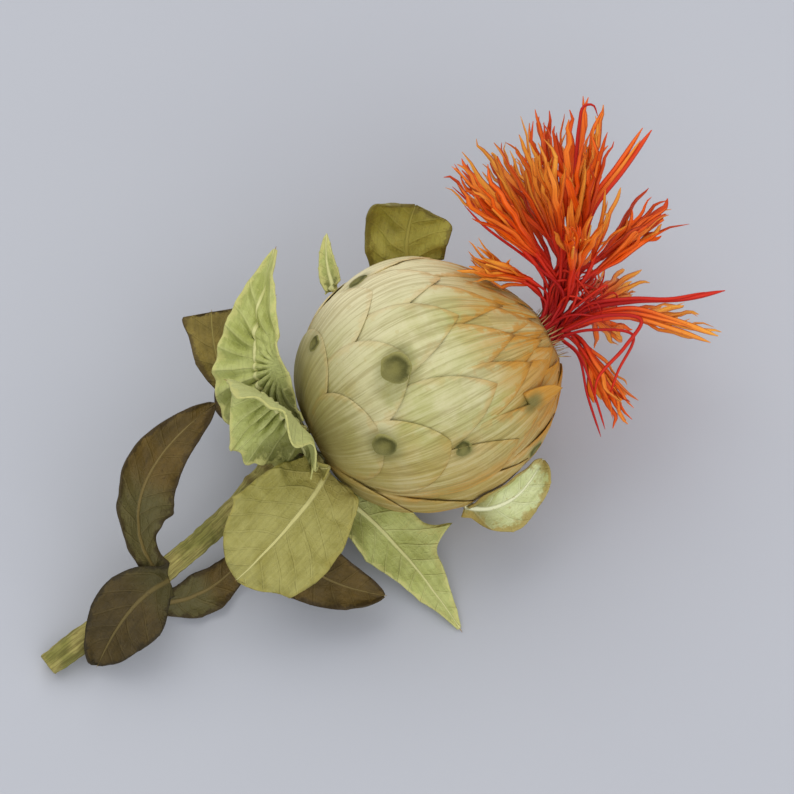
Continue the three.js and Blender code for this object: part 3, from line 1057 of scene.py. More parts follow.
class GeometryTrees:
    """The trees that repeat a shape or sweep one along paths."""

    def __init__(self) -> None:
        """Builds each tree once."""
        self.scale_ring = self.build_scale_ring()
        self.sweep = self.build_sweep()
        self.scatter = self.build_scatter()

    @staticmethod
    def build_scale_ring() -> Tree:
        """Repeats one scale round the head's axis, each a little different, then shifts and dents them.

        Returns:
            The tree.
        """
        numbers = ["First Roll", "Roll Spread", "Tilt Spread", "Mouth X", "Mouth Shift", "Dent"]
        bench = TreeBench("ring_of_scales", {Kind.COUNT: ["Count", "Seed"], Kind.NUMBER: numbers})
        take = bench.take
        line = bench.out("GeometryNodeMeshLine", {"Count": take["Count"], "Offset": (0, 0, 0)})
        step = bench.math("DIVIDE", 360.0, take["Count"])
        roll = bench.plus(take["First Roll"], bench.times(bench.out("GeometryNodeInputIndex"), step))
        drawn = bench.random(bench.times(take["Roll Spread"], -1.0), take["Roll Spread"], take["Seed"])
        turned = bench.math("RADIANS", bench.times(bench.plus(roll, drawn), -1.0))
        copies = bench.copies(line, take["Geometry"], Rotation=bench.combine(turned))
        low = bench.times(take["Tilt Spread"], -1.0)
        tilt = bench.random(low, take["Tilt Spread"], bench.plus(take["Seed"], 7.0))
        leaning = bench.combine(0.0, bench.math("RADIANS", tilt))
        feed = {"Instances": copies, "Rotation": leaning, "Local Space": True}
        tilted = bench.out("GeometryNodeRotateInstances", feed)
        tone = bench.random(0.0, 1.0, bench.plus(take["Seed"], 13.0))
        real = bench.real(bench.write(tilted, "tone", tone, "INSTANCE"))
        position = bench.out("GeometryNodeInputPosition")
        share = bench.math("DIVIDE", bench.split(position)[0], take["Mouth X"], clamp=True)
        shift = bench.times(take["Mouth Shift"], bench.math("POWER", share, 2.0))
        dents = bench.math("SUBTRACT", bench.noise(position, 0.17, 2.0), 0.5)
        creases = bench.math("SUBTRACT", bench.noise(position, 0.75, 2.0), 0.5)
        depth = bench.times(bench.plus(dents, bench.times(creases, 0.22)), take["Dent"])
        dented = bench.scaled(bench.vector_math("NORMALIZE", position), depth)
        offset = bench.vector_math("ADD", dented, bench.combine(0.0, shift))
        return bench.dressed(bench.out("GeometryNodeSetPosition", {"Geometry": real, "Offset": offset}))

    @staticmethod
    def build_sweep() -> Tree:
        """Sweeps a small section along each path, as thick as the path's own radius says.

        Returns:
            The tree.
        """
        bench = TreeBench("swept_strands", {Kind.COUNT: ["Sides"], Kind.NUMBER: ["Flatness", "Gutter"]})
        take = bench.take
        paths = bench.out("GeometryNodeMeshToCurve", {"Mesh": take["Geometry"]})
        paths = bench.out("GeometryNodeSetCurveTilt", {"Curve": paths, "Tilt": bench.read("twist")})
        ring = bench.out("GeometryNodeCurvePrimitiveCircle", {"Resolution": take["Sides"], "Radius": 1.0})
        x, y, _ = bench.split(bench.out("GeometryNodeInputPosition"))
        bent = bench.times(bench.math("SUBTRACT", bench.times(x, x), 0.4), take["Gutter"])
        section = bench.combine(x, bench.plus(bench.times(y, take["Flatness"]), bent))
        ring = bench.write(ring, "across", x)
        ring = bench.out("GeometryNodeSetPosition", {"Geometry": ring, "Position": section})
        feed = {"Curve": paths, "Profile Curve": ring, "Scale": bench.read("radius"), "Fill Caps": True}
        return bench.dressed(bench.out("GeometryNodeCurveToMesh", feed))

    @staticmethod
    def build_scatter() -> Tree:
        """Stands a slender cone on each point, along the point's own heading and as long as its own size.

        Returns:
            The tree.
        """
        numbers = ["Slenderness", "Length Spread"]
        bench = TreeBench("standing_bristles", {Kind.NUMBER: numbers, Kind.COUNT: ["Seed"]})
        take = bench.take
        sizes = {"Radius Top": 0.012, "Radius Bottom": take["Slenderness"], "Depth": 1.0}
        cone = bench.out("GeometryNodeMeshCone", {"Vertices": 5, "Side Segments": 3, **sizes}, "Mesh")
        cone = bench.write(cone, "share", bench.split(bench.out("GeometryNodeInputPosition"))[2])
        heading = bench.read("heading", "FLOAT_VECTOR")
        turn = bench.out("FunctionNodeAlignRotationToVector", {"Vector": heading}, axis="Z")
        spread = take["Length Spread"]
        drawn = bench.random(bench.math("SUBTRACT", 1.0, spread), bench.plus(1.0, spread), take["Seed"])
        scale = bench.times(bench.read("size"), drawn)
        size = bench.combine(scale, scale, scale)
        return bench.dressed(bench.copies(take["Geometry"], cone, Rotation=turn, Scale=size))


def grow(tree: Tree, source: Mesh, feed: Feed) -> Mesh:
    """Runs a geometry tree on a mesh.

    Args:
        tree: the tree.
        source: the mesh that goes in as its Geometry.
        feed: values for its other named inputs.

    Returns:
        The result as a plain mesh, with outward faces.
    """
    carrier = in_scene("carrier", source)
    modifier = carrier.modifiers.new("tree", "NODES")
    modifier.node_group = tree
    for item in tree.interface.items_tree:
        if item.item_type == "SOCKET" and item.in_out == "INPUT" and item.name in feed:
            modifier[item.identifier] = feed[item.name]
    evaluated = carrier.evaluated_get(bpy.context.evaluated_depsgraph_get())
    grown = bpy.data.meshes.new_from_object(evaluated)
    carrier.modifiers.clear()
    bpy.data.objects.remove(carrier)
    face_out(grown)
    return grown


@dataclass
class Workshop:
    """What the sub-assemblies are made with: the head's form, the geometry trees and the materials."""

    form: HeadForm
    trees: GeometryTrees
    papery: Material
    scar: Material
    floret: Material
    stem: Material
    bristle: Material
    leaves: dict[Leaf, Material]

    @classmethod
    def fitted_out(cls, effects: Effects) -> Workshop:
        """A workshop with each material built once.

        Args:
            effects: the shared shader groups.

        Returns:
            The workshop.
        """
        finishes = (PaperyFinish(), ScarFinish(), FloretFinish(), StemFinish(), BristleFinish())
        materials = [finish.material(effects) for finish in finishes]
        leaves = {leaf: leaf.value.material(effects) for leaf in Leaf}
        return cls(HeadForm(), GeometryTrees(), *materials, leaves)

    def ring(self, one: Shape, material: Material, **feed: float) -> Mesh:
        """A ring of alike shapes round the head's axis.

        Args:
            one: the shape at roll 0.
            material: what they are made of.
            feed: the inputs of the tree of rings, in small letters and with an underscore for a space.

        Returns:
            All of them as one mesh.
        """
        named = {key.replace("_", " ").title(): value for key, value in feed.items()}
        fixed = {"Mouth X": self.form.mouth_x, "Material": material}
        return grow(self.trees.scale_ring, one.mesh("one"), {**named, **fixed})


# ---- the globe


@dataclass(frozen=True)
class ScaleRow:
    """One ring of alike scales. tip, length and half_width are degrees, as seen from the globe's middle."""

    count: int
    tip: float
    length: float
    half_width: float
    first: float
    stand: float
    bluntness: float
    point: float
    stations: int = 30
    lanes: int = 25


@dataclass(frozen=True)
class LeafScar:
    """A round scar on the globe, by its angle from the mouth, its roll and its radius in millimetres."""

    angle: float
    roll: float
    radius: float
    stain: float
    ring: bool = True


@dataclass
class PaperyGlobe:
    """The globe: a body under overlapping papery scales, with the scars of fallen leaves.

    roll_spread is how unevenly the scales of a ring stand, as a share of the space for one, and tilt_spread
    how far they tip, in degrees. steps and sides are the body's, scar_rings and scar_sides those of a scar.
    """

    shop: Workshop
    rows: tuple[ScaleRow, ...] = (
        ScaleRow(5, 120, 46, 46, -18, 0.42, 2.4, 0.6),
        ScaleRow(8, 92, 52, 32, 12, 0.37, 2.2, 0.75),
        ScaleRow(11, 62, 52, 24, -13, 0.32, 2.0, 0.9),
        ScaleRow(13, 37, 48, 20, 9, 0.27, 1.8, 1.0),
        ScaleRow(15, 21, 38, 19, -4, 0.22, 1.6, 1.0, stations=26, lanes=15),
        ScaleRow(13, 12.5, 28, 26, 8, 0.17, 1.5, 0.95, stations=22, lanes=13),
    )
    scars: tuple[LeafScar, ...] = (
        LeafScar(98, 11.6, 1.45, 0.8),
        LeafScar(119, -18.4, 1.2, 0.85),
        LeafScar(88, -35.5, 0.75, 0.8),
        # not a scar: a painted shade on the globe under the lifted tip, which darkens the slit beneath it
        LeafScar(49, -38, 0.8, 1.0, ring=False),
        LeafScar(104, 6.0, 1.2, 0.5, ring=False),
        LeafScar(126.5, 53.9, 0.8, 0.5),
        LeafScar(95, 71.0, 1.0, 0.9),
        LeafScar(58, -74.8, 0.9, 0.6),
        LeafScar(104, 148, 1.1, 0.6),
        LeafScar(84, -128, 1.0, 0.6),
    )
    thickness: float = 0.07
    dent: float = 0.4
    roll_spread: float = 0.17
    tilt_spread: float = 2.4
    steps: int = 44
    sides: int = 64
    scar_rings: int = 14
    scar_sides: int = 36
    scale_seed: int = 40
    scar_seed: int = 70

    def scale(self, row: ScaleRow) -> Shape:
        """One scale at roll 0, before the globe is shifted askew.

        Args:
            row: the ring that it belongs to.

        Returns:
            A thin closed shape, sunk into the body at its foot.
        """
        share = 1 - (1 - np.linspace(0, 1, row.stations)) ** 1.6
        lane = np.linspace(-1, 1, row.lanes)
        lane = np.sign(lane) * np.abs(lane) ** 0.85
        s, across = np.meshgrid(share, lane, indexing="ij")
        angle = np.radians(row.tip + row.length * (1 - s))
        outline = np.maximum(0.004, 1 - s**row.bluntness) ** row.point * (0.75 + 0.25 * s)
        half = row.half_width * outline
        ribs = (0.022 * np.sin(across * 23 + 1.0) + 0.014 * np.sin(across * 41)) * s * (1 - s**6)
        keel = 0.02 * np.exp(-((across / 0.2) ** 2)) * s * (1 - s**4)
        rim = np.maximum(np.abs(across), smooth(s, 0.7, 1.0)) ** 4
        rise = row.stand - 0.6 * (1 - s) ** 3 - 0.075 * rim + ribs + keel + 0.05 * across
        thick = self.thickness * (0.35 + 0.65 * (1 - across**4) * (1 - s**8))
        under = rise - thick - 0.55 * (1 - s) ** 1.5
        form = self.shop.form
        upper = form.straight_point(angle, half * across, rise)
        lower = form.straight_point(angle, half * across, under)
        reach = form.reach(angle)
        to_side = (1 - np.abs(across)) * np.radians(half) * reach * np.sin(angle)
        to_tip = np.radians(row.length) * (1 - s) * reach
        return closed_sheet(upper, lower, {"share": s, "to_margin": np.minimum(to_side, to_tip)})

    def body(self) -> Shape:
        """The closed body under the scales, with a shallow cup at its mouth.

        Returns:
            The shape.
        """
        form = self.shop.form
        start = math.acos(form.base_x / form.core_radius)
        end = math.asin(form.mouth_radius / form.mouth_x)
        angle = np.linspace(start, end, self.steps)
        reach = form.reach(angle) - 0.05
        x = reach * np.cos(angle)
        cup = ((0.6, form.mouth_radius - 0.3), (1.2, form.mouth_radius - 0.7), (1.35, 0.02))
        x = np.concatenate([[form.base_x] * 2, x, [x[-1] - depth for depth, _ in cup]])
        radius = np.concatenate([[0.02, 2.0], reach * np.sin(angle), [width for _, width in cup]])
        rolls = np.linspace(0, 360, self.sides, endpoint=False)
        grid = polar(x[:, None], rolls[None, :], np.broadcast_to(radius[:, None], (len(x), self.sides)))
        values = {
            "share": np.outer(np.linspace(0, 0.8, len(x)), np.ones(self.sides)),
            "to_margin": np.full(grid.shape[:2], 5.0),
            "tone": np.full(grid.shape[:2], 0.5),
        }
        return closed_tube(form.askew(grid), values)

    def lifted_tip(self) -> Shape:
        """A small scale near the mouth that has come loose and stands off, over a slit that a painted shade
        on the globe darkens.

        Returns:
            The shape.
        """
        form = self.shop.form
        s, across = np.meshgrid(np.linspace(0, 1, 16), np.linspace(-1, 1, 11), indexing="ij")
        angle = np.radians(50 - 14 * s)
        half = 9 * np.sqrt(np.maximum(0.003, 1 - s**2.2))
        rise = 0.3 + 1.7 * s**1.5 - 0.3 * across**2 * s + 0.1 * across
        upper = form.askew(form.straight_point(angle, -39 + half * across, rise))
        lower = form.askew(form.straight_point(angle, -39 + half * across, rise - 0.1 - 0.5 * (1 - s) ** 2))
        values = {
            "share": s * 0.7,
            "to_margin": (1 - np.abs(across)) * 1.5 * (1 - s),
            "tone": np.full_like(s, 0.2),
        }
        return closed_sheet(upper, lower, values)

    def stained(self, mesh: Mesh) -> Mesh:
        """Stores on a mesh how much the scars stain each point, one entry being a painted shade under the
        lifted tip, and its place along and round the globe.

        Args:
            mesh: a mesh of the globe.

        Returns:
            The same mesh.
        """
        points = read_points(mesh)
        stain = np.zeros(len(points))
        for scar in self.scars:
            distance = np.linalg.norm(points - self.scar_middle(scar), axis=1) / scar.radius
            uneven = 1 + 0.12 * Ripples(int(scar.angle), 3.0).at(points)
            stain = np.maximum(stain, scar.stain * (1 - smooth(distance * uneven, 0.6, 2.1)))
        form = self.shop.form
        straight = points - form.askew(points) + points
        roll = np.arctan2(straight[:, 1], straight[:, 2])
        angle = np.arctan2(np.hypot(straight[:, 1], straight[:, 2]), straight[:, 0])
        meridian = np.stack([np.cos(roll), angle, np.sin(roll)], axis=-1) * form.globe_radius
        store(mesh, {"stain": stain, "meridian": meridian})
        return mesh

    def scar_middle(self, scar: LeafScar) -> Array:
        """The middle of a scar on the globe."""
        form = self.shop.form
        return form.askew(form.straight_point(np.radians(scar.angle), np.array(scar.roll), 0.35))

    def scar_disc(self, scar: LeafScar, surface: BVHTree, seed: int) -> Shape:
        """A scar: a low ring round a sunken middle, fitted to the scales under it.

        Args:
            scar: where it is and how large.
            surface: the globe's surface.
            seed: which uneven outline it gets.

        Returns:
            A closed low disc, with its distance from its middle and how far to its shaded side as values.
        """
        rings, sides = self.scar_rings, self.scar_sides
        middle = self.scar_middle(scar)
        side = unit(np.cross(unit(middle), [0.3, 0.2, 0.9]))
        other = np.cross(unit(middle), side)
        ripples = Ripples(seed, 2.5)
        out = np.linspace(0.04, 1.25, rings)
        turn = np.linspace(0, math.tau, sides, endpoint=False)
        circle = np.stack([np.cos(turn), np.sin(turn), np.full(sides, 0.5)], axis=-1)
        spokes = circle[:, :1] * side + circle[:, 1:2] * other
        spokes *= scar.radius * (1 + 0.05 * ripples.at(circle * 2))[:, None]
        flat = middle + out[:, None, None] * spokes
        height = 0.07 * np.exp(-(((out - 0.8) / 0.2) ** 2)) + 0.03 - 0.17 * smooth(out, 1.0, 1.25)
        bumps = 0.008 * ripples.at(flat * 3) * (out < 0.7)[:, None]
        ground = np.apply_along_axis(partial(self.on_surface, surface), -1, flat)
        top = ground + unit(flat) * (height[:, None] + bumps)[..., None]
        bottom = top - unit(top) * 0.3
        reach = np.concatenate([out, out[::-1]])
        values = {"share": np.outer(reach, np.ones(sides)), "shade_side": np.outer(reach, -np.sin(turn))}
        return closed_tube(np.concatenate([top, bottom[::-1]]), values)

    @staticmethod
    def on_surface(surface: BVHTree, point: Array) -> Array:
        """Where the line from the globe's middle to a point meets a surface, or else the point."""
        way = unit(point)
        hit = surface.ray_cast(Vector(way * 20), Vector(-way))[0]
        return point if hit is None else np.array(hit)

    def build(self) -> list[Piece]:
        """Builds and dresses the globe and its scars.

        Returns:
            The finished pieces.
        """
        meshes = []
        for number, row in enumerate(self.rows):
            ring = self.shop.ring(
                self.scale(row),
                self.shop.papery,
                count=row.count,
                first_roll=float(row.first),
                roll_spread=self.roll_spread * 360 / row.count,
                tilt_spread=self.tilt_spread,
                mouth_shift=self.shop.form.mouth_shift,
                dent=self.dent,
                seed=self.scale_seed + number,
            )
            meshes.append(ring)
        meshes.append(self.body().mesh("globe_body", self.shop.papery))
        meshes.append(self.lifted_tip().mesh("lifted_tip", self.shop.papery))
        surface = self.surface_of(meshes)
        seeds = enumerate(self.scars, self.scar_seed)
        scars = [self.scar_disc(scar, surface, seed) for seed, scar in seeds if scar.ring]
        return [
            finish_piece("globe_scales", [self.stained(mesh) for mesh in meshes], ["globe"]),
            finish_piece("leaf_scars", [disc.mesh("scar", self.shop.scar) for disc in scars]),
        ]

    @staticmethod
    def surface_of(meshes: Sequence[Mesh]) -> BVHTree:
        """All the meshes as one surface to measure on.

        Args:
            meshes: the meshes.

        Returns:
            Their surface.
        """
        work = bmesh.new()
        for mesh in meshes:
            work.from_mesh(mesh)
        surface = BVHTree.FromBMesh(work)
        work.free()
        return surface


# ---- leaf blades


@dataclass(frozen=True)
class Blade:
    """One leaf blade, in the head's millimetres.

    root, bend and tip are the midrib's ends and the point that it bends towards. face and tip_face are the
    ways that the upper face looks, and turn rolls it about the midrib, in degrees at the root and at the
    tip. taper, if not 0, is how late a straight-sided blade widens, and point is how slowly its end
    narrows. fold is the degrees that each half lifts. ruffle and waves are the height and number of the
    large waves. spikes and spike_length are the teeth on each margin, and each big tooth is a share of the
    length, a side and a length. curl is how far the margins roll up, crumple is the height of the fine
    uneven waves and pleat is the depth of the folds between the side veins. In a blade with a fan the folds
    spread out from one point instead: fan holds how many there are to a radian, the point's share of the
    length and how far beyond the midrib it lies.
    """

    name: str
    leaf: Leaf
    root: Point
    bend: Point
    tip: Point
    width: float
    face: Point
    tip_face: Point | None = None
    turn: tuple[float, float] = (0.0, 0.0)
    foot: float = 0.45
    widest: float = 0.45
    taper: float = 0.0
    blunt: float = 1.7
    point: float = 0.65
    fold: float = 15.0
    ruffle: float = 0.5
    waves: float = 1.5
    spikes: int = 4
    spike_length: float = 0.12
    big_teeth: tuple[Point, ...] = ()
    curl: float = 0.3
    crumple: float = 0.2
    pleat: float = 0.08
    vein_spacing: float = 2.0
    fan: Point | None = None
    seed: int = 1
    stations: int = 96
    lanes: int = 33
    tuck: float = -0.09

    def midrib(self, share: Array) -> tuple[Array, Array]:
        """The midrib's points and headings at shares of its length.

        Args:
            share: the shares.

        Returns:
            The points and the headings.
        """
        root, bend, tip = (np.array(p) for p in (self.root, self.bend, self.tip))
        s = share[:, None]
        headings = unit(2 * (1 - s) * (bend - root) + 2 * s * (tip - bend))
        return bezier(root, bend, tip, share), headings

    def upward(self, share: Array, along: Array) -> Array:
        """The ways that the upper face looks at shares of the length, square to the midrib.

        Args:
            share: the shares.
            along: the midrib's headings there.

        Returns:
            The ways, each one long.
        """
        start = unit(np.array(self.face, float))
        end = unit(np.array(self.tip_face or self.face, float))
        up = start + np.clip(share, 0, 1)[:, None] * (end - start)
        up = unit(up - (up * along).sum(-1, keepdims=True) * along)
        roll = np.radians(self.turn[0] + (self.turn[1] - self.turn[0]) * smooth(share, 0.2, 0.75))[:, None]
        return up * np.cos(roll) + np.cross(along, up) * np.sin(roll)

    def outline(self, share: Array) -> Array:
        """The half width at shares of the length, as a share of the widest.

        Args:
            share: the shares.

        Returns:
            From almost 0 to a little over 1.
        """
        rise = np.clip(share / self.widest, 0, 1)
        rise = rise**self.taper if self.taper else np.sin(rise * math.pi / 2)
        fall = np.clip((share - self.widest) / (1 - self.widest), 0, 1)
        belly = self.foot + (1 - self.foot) * rise
        return belly * np.maximum(0, 1 - fall**self.blunt) ** self.point + 0.025

    def teeth(self, share: Array, side: float) -> Array:
        """How far the teeth of one margin stand out, in millimetres.

        Args:
            share: shares of the length.
            side: 1 or -1.

        Returns:
            One length for each share.
        """
        phase = (share * self.spikes + 0.31 * side + 0.5) % 1.0 - 0.62
        small = np.exp(-np.abs(phase / np.where(phase < 0, 0.1, 0.045)) ** 1.2) * self.spike_length
        small *= smooth(share, 0.08, 0.25) * (1 - smooth(share, 0.9, 0.99))
        for place, its_side, length in self.big_teeth:
            off = (share - place) / np.where(share < place, 0.05, 0.022)
            small = small + length * np.exp(-np.abs(off) ** 1.1) * (its_side == side)
        return small

    def shape(self, form: HeadForm) -> Shape:
        """The blade as a thin closed shape.

        Args:
            form: the globe that it keeps clear of.

        Returns:
            The shape, with the values that a leaf finish reads.
        """
        share = self.tuck + (1 - self.tuck) * np.linspace(0, 1, self.stations) ** 0.93
        middle, along = self.midrib(share)
        up = self.upward(share, along)
        side = np.cross(up, along)
        s, across = np.meshgrid(share, np.linspace(-1, 1, self.lanes), indexing="ij")
        away = np.abs(across)
        base = 0.5 * self.width * self.outline(share)
        teeth = np.where(across > 0, self.teeth(share, 1)[:, None], self.teeth(share, -1)[:, None])
        half = base[:, None] + teeth * away**5
        off_rib = away * half
        length = np.linalg.norm(np.diff(middle, axis=0), axis=1)
        run = np.concatenate([[0], np.cumsum(length)])[:, None] + 0 * across
        lift = np.radians(self.fold) * np.tanh(across / 0.1) * np.minimum(1, half / 0.6)
        height = self.ruffle * np.sqrt(np.clip(s, 0, 1)) * np.minimum(1, half)
        wave = height * across**2 * np.sin(math.tau * self.waves * s + 1.3 * across)
        flat = middle[:, None] + side[:, None] * (across * half * np.cos(lift))[..., None]
        uneven = 0.08 * Ripples(self.seed * 3 + 3, 6.0).at(flat)
        if self.fan:
            folds, place, beyond = self.fan
            ahead = run - place * run[-1, 0]
            beside = np.maximum(across * half + beyond, 0.6)
            phase = folds * np.arctan2(ahead, beside)
            spread = (1 - 0.6 * away**3) * smooth(np.hypot(ahead, beside), 1.2, 3.6)
        else:
            phase = (run - off_rib * 0.75) / self.vein_spacing + 0.5 * (across > 0)
            spread = smooth(away, 0.06, 0.45) * (1 - 0.7 * away**3)
        phase = phase + uneven
        spread = spread * np.minimum(1, half / 1.5)
        broad = Ripples(self.seed * 3 + 1, 5.0).at(flat)
        pleats = self.pleat * np.cos(math.tau * (phase + 0.5)) * spread
        pleats = pleats * (1 + 0.5 * broad) * (1.4 - 0.9 * s)
        fine = Ripples(self.seed * 3 + 2, 1.9).at(flat)
        crumple = self.crumple * (0.75 * broad + 0.25 * fine) * (0.25 + 0.75 * away)
        crumple = crumple * np.minimum(1, half / 1.2)
        roll = self.curl * smooth(away, 0.55, 1.0) * (0.7 + 0.5 * broad) * np.minimum(1, half)
        bump = across * half * np.sin(lift) + wave + pleats + crumple + roll
        surface = self.clear_of_globe(flat + up[:, None] * bump[..., None], form)
        normal = self.normals(surface)
        rib = np.exp(-((off_rib / 0.3) ** 2)) * (1 - 0.75 * np.clip(s, 0, 1))
        thick = 0.08 + 0.07 * (1 - away)
        upper = surface + normal * (thick + 0.1 * rib)[..., None]
        lower = surface - normal * (thick + 0.38 * rib)[..., None]
        values = {
            "share": s,
            "run": run,
            "off_rib": off_rib,
            "vein_phase": phase,
            "to_margin": np.minimum(half - off_rib, run[-1, 0] - run + 0.05),
        }
        return closed_sheet(upper, lower, values)

    @staticmethod
    def clear_of_globe(surface: Array, form: HeadForm) -> Array:
        """Pushes the points that would enter the globe out to its surface.

        Args:
            surface: any array of points.
            form: the globe.

        Returns:
            The points, all clear of it.
        """
        shift = form.askew(surface) - surface
        straight = surface - shift
        distance = np.linalg.norm(straight, axis=-1, keepdims=True)
        clear = form.globe_radius + 0.14
        return straight * (np.maximum(distance, clear) / distance) + shift

    @staticmethod
    def normals(surface: Array) -> Array:
        """The directions square to a grid of points."""
        return unit(np.cross(np.gradient(surface, axis=0), np.gradient(surface, axis=1)))

    def build(self, shop: Workshop) -> Piece:
        """Builds and dresses the blade, which stands for the frame's node of the same name."""
        mesh = self.shape(shop.form).mesh(self.name, shop.leaves[self.leaf])
        return finish_piece(f"{self.name}_leaf", [mesh], [self.name])


@dataclass
class Foliage:
    """The leaf blades: the bracts round the globe's base, the tips on its scales and the stem's leaves."""

    shop: Workshop
    bracts: tuple[Blade, ...] = (
        Blade("bract_near", Leaf.FRESH, (-13.5, -0.6, 4.1), (-12.2, 3.9, 10.6), (-16.8, 9.0, 9.0), 12.4,
              (-0.35, -0.5, 0.8), (-0.5, -0.2, 0.8), turn=(-18, -18), foot=0.25, widest=0.5, point=0.7,
              fold=34, ruffle=0.6, curl=1.1, pleat=0.34, fan=(3.4, 0.62, 2.6), seed=1, lanes=45),
        Blade("bract_upper", Leaf.FRESH, (-13.6, 3.2, 2.8), (-17.0, 8.8, 5.0), (-6.9, 18.6, 1.6), 9.0,
              (-0.6, 0.1, 0.8), (-0.2, 0.3, 1.0), widest=0.32, blunt=1.15, point=0.8, fold=18, ruffle=0.4,
              pleat=0.46, fan=(4.2, 0.36, 3.6), seed=2, stations=140, lanes=45),
        Blade("bract_high", Leaf.FRESH, (-13.6, 3.9, -1.6), (-16.6, 12.0, -4.4), (-9.2, 14.8, -7.6), 6.4,
              (-0.8, 0.5, -0.1), foot=0.4, fold=16, waves=2, seed=3),
        Blade("bract_far", Leaf.OLIVE, (-13.6, 0.6, -4.1), (-16.6, 4.2, -8.8), (-13.0, 8.4, -12.4), 6.2,
              (-0.9, 0.4, -0.1), foot=0.35, fold=18, waves=2, seed=4),
        Blade("bract_under", Leaf.OLIVE, (-13.6, -3.2, -2.8), (-16.5, -4.2, -7.2), (-23.0, -5.0, -5.6), 7.2,
              (0.2, -0.2, -1.0), foot=0.3, fold=6, ruffle=0.2, seed=5),
        Blade("bract_low", Leaf.FRESH, (-13.5, -4.0, -0.6), (-9.4, -11.6, -4.6), (-8.1, -23.4, -1.3), 7.6,
              (0.4, 0.3, 1.0), (0.2, 0.1, 1.0), foot=0.3, widest=0.4, blunt=1.15, point=0.85, fold=14,
              ruffle=0.4, spikes=3, big_teeth=((0.62, 1.0, 2.8),), crumple=0.3, seed=6),
        Blade("bract_broad", Leaf.OLIVE, (-12.9, -3.6, 3.4), (-16.2, -6.0, 7.3), (-25.2, -8.6, 5.4), 11.2,
              (0.1, -0.1, 1.0), foot=0.5, widest=0.58, blunt=2.3, point=0.6, fold=8, waves=2,
              spike_length=0.08, big_teeth=((0.66, -1.0, 0.7), (0.86, 1.0, 0.6)), crumple=0.45, pleat=0.05,
              seed=7, lanes=41),
    )
    outer_bracts: tuple[Blade, ...] = (
        Blade("bract_outer_high", Leaf.UMBER, (-16.0, 2.4, -0.6), (-19.0, 8.6, -1.0), (-15.5, 16.1, -2.4),
              6.0, (-0.6, 0.0, 1.0), foot=0.3, widest=0.97, taper=2.6, blunt=5.0, point=0.4, fold=12,
              ruffle=0.3, big_teeth=((0.965, -1.0, 0.6),), seed=8),
        Blade("bract_outer_low", Leaf.BROWN, (-16.4, -3.0, 0.4), (-23.0, -9.6, 1.4), (-13.2, -16.9, 0.9),
              7.4, (-0.3, 0.3, 1.0), foot=0.35, fold=10, seed=9),
        Blade("bract_outer_far", Leaf.BROWN, (-15.8, 0.4, -2.4), (-18.8, 5.6, -6.6), (-17.6, 10.6, -9.2),
              5.6, (-1.0, 0.3, 0.2), foot=0.3, fold=10, seed=10),
    )
    scale_tips: tuple[Blade, ...] = (
        Blade("scale_tip_top", Leaf.TIP, (4.1, 11.4, -3.4), (5.5, 14.4, -2.4), (7.5, 16.1, -1.0), 8.4,
              (0.0, 0.3, 1.0), (-0.3, -0.4, 1.0), foot=0.86, widest=0.75, blunt=6.0, point=0.4, fold=8,
              ruffle=0.7, waves=1, spike_length=0.02, curl=0.9, crumple=0.4, pleat=0.14, seed=11,
              stations=72, lanes=45),
        Blade("scale_tip_spike", Leaf.FRESH, (-3.5, 12.4, -0.6), (-3.3, 15.0, -1.5), (-1.6, 17.8, -1.9), 2.2,
              (-0.2, 0.1, 1.0), foot=0.8, widest=0.3, blunt=1.3, point=0.8, fold=24, ruffle=0.1, waves=1,
              spike_length=0.1, seed=12, stations=48, lanes=19, vein_spacing=1.4),
        Blade("scale_tip_low", Leaf.PALE, (-1.4, -13.2, 1.6), (2.2, -15.8, 1.8), (7.0, -12.2, 0.8), 5.4,
              (0.0, -0.2, 1.0), foot=0.4, fold=20, crumple=0.3, seed=13, stations=72, lanes=27),
    )
    stem_leaves: tuple[Blade, ...] = (
        Blade("stem_leaf_upper", Leaf.BROWN, (-32.4, -3.3, 2.2), (-32.6, 5.4, 5.0), (-19.3, 7.8, 2.4), 6.2,
              (0.0, 0.1, 1.0), (0.2, -0.3, 1.0), turn=(50, -12), fold=16, ruffle=0.3, spike_length=0.05,
              seed=14),
        Blade("stem_leaf_lower", Leaf.DARK, (-32.2, -5.6, 2.4), (-36.0, -5.6, 5.6), (-41.6, -9.8, 1.4), 7.4,
              (0.0, -0.1, 1.0), fold=14, ruffle=0.4, spike_length=0.05, seed=15),
        Blade("stem_leaf_far", Leaf.BROWN, (-33.6, -7.1, -0.8), (-29.0, -9.6, -2.4), (-23.0, -6.6, -3.0),
              4.4, (0.0, -0.3, 1.0), fold=12, ruffle=0.2, spike_length=0.05, seed=16),
    )
    bractlets: tuple[tuple[int, float, Blade], ...] = (
        (9, 10.0,
            Blade("first_bractlet", Leaf.OLIVE, (-12.6, 0.0, 2.2), (-13.4, 0.0, 3.6), (-12.4, 0.3, 4.9), 3.0,
                  (-1.0, 0.0, 0.3), foot=0.6, point=0.8, fold=8, ruffle=0.2, seed=21, stations=36, lanes=13),
        ),
        (8, 31.0,
            Blade("second_bractlet", Leaf.BROWN, (-12.9, 0.0, 2.0), (-14.0, 0.2, 3.0), (-13.4, -0.2, 4.4),
                  2.2, (-1.0, 0.0, 0.2), foot=0.5, point=0.8, fold=16, ruffle=0.3, seed=22, stations=36,
                  lanes=13),
        ),
    )

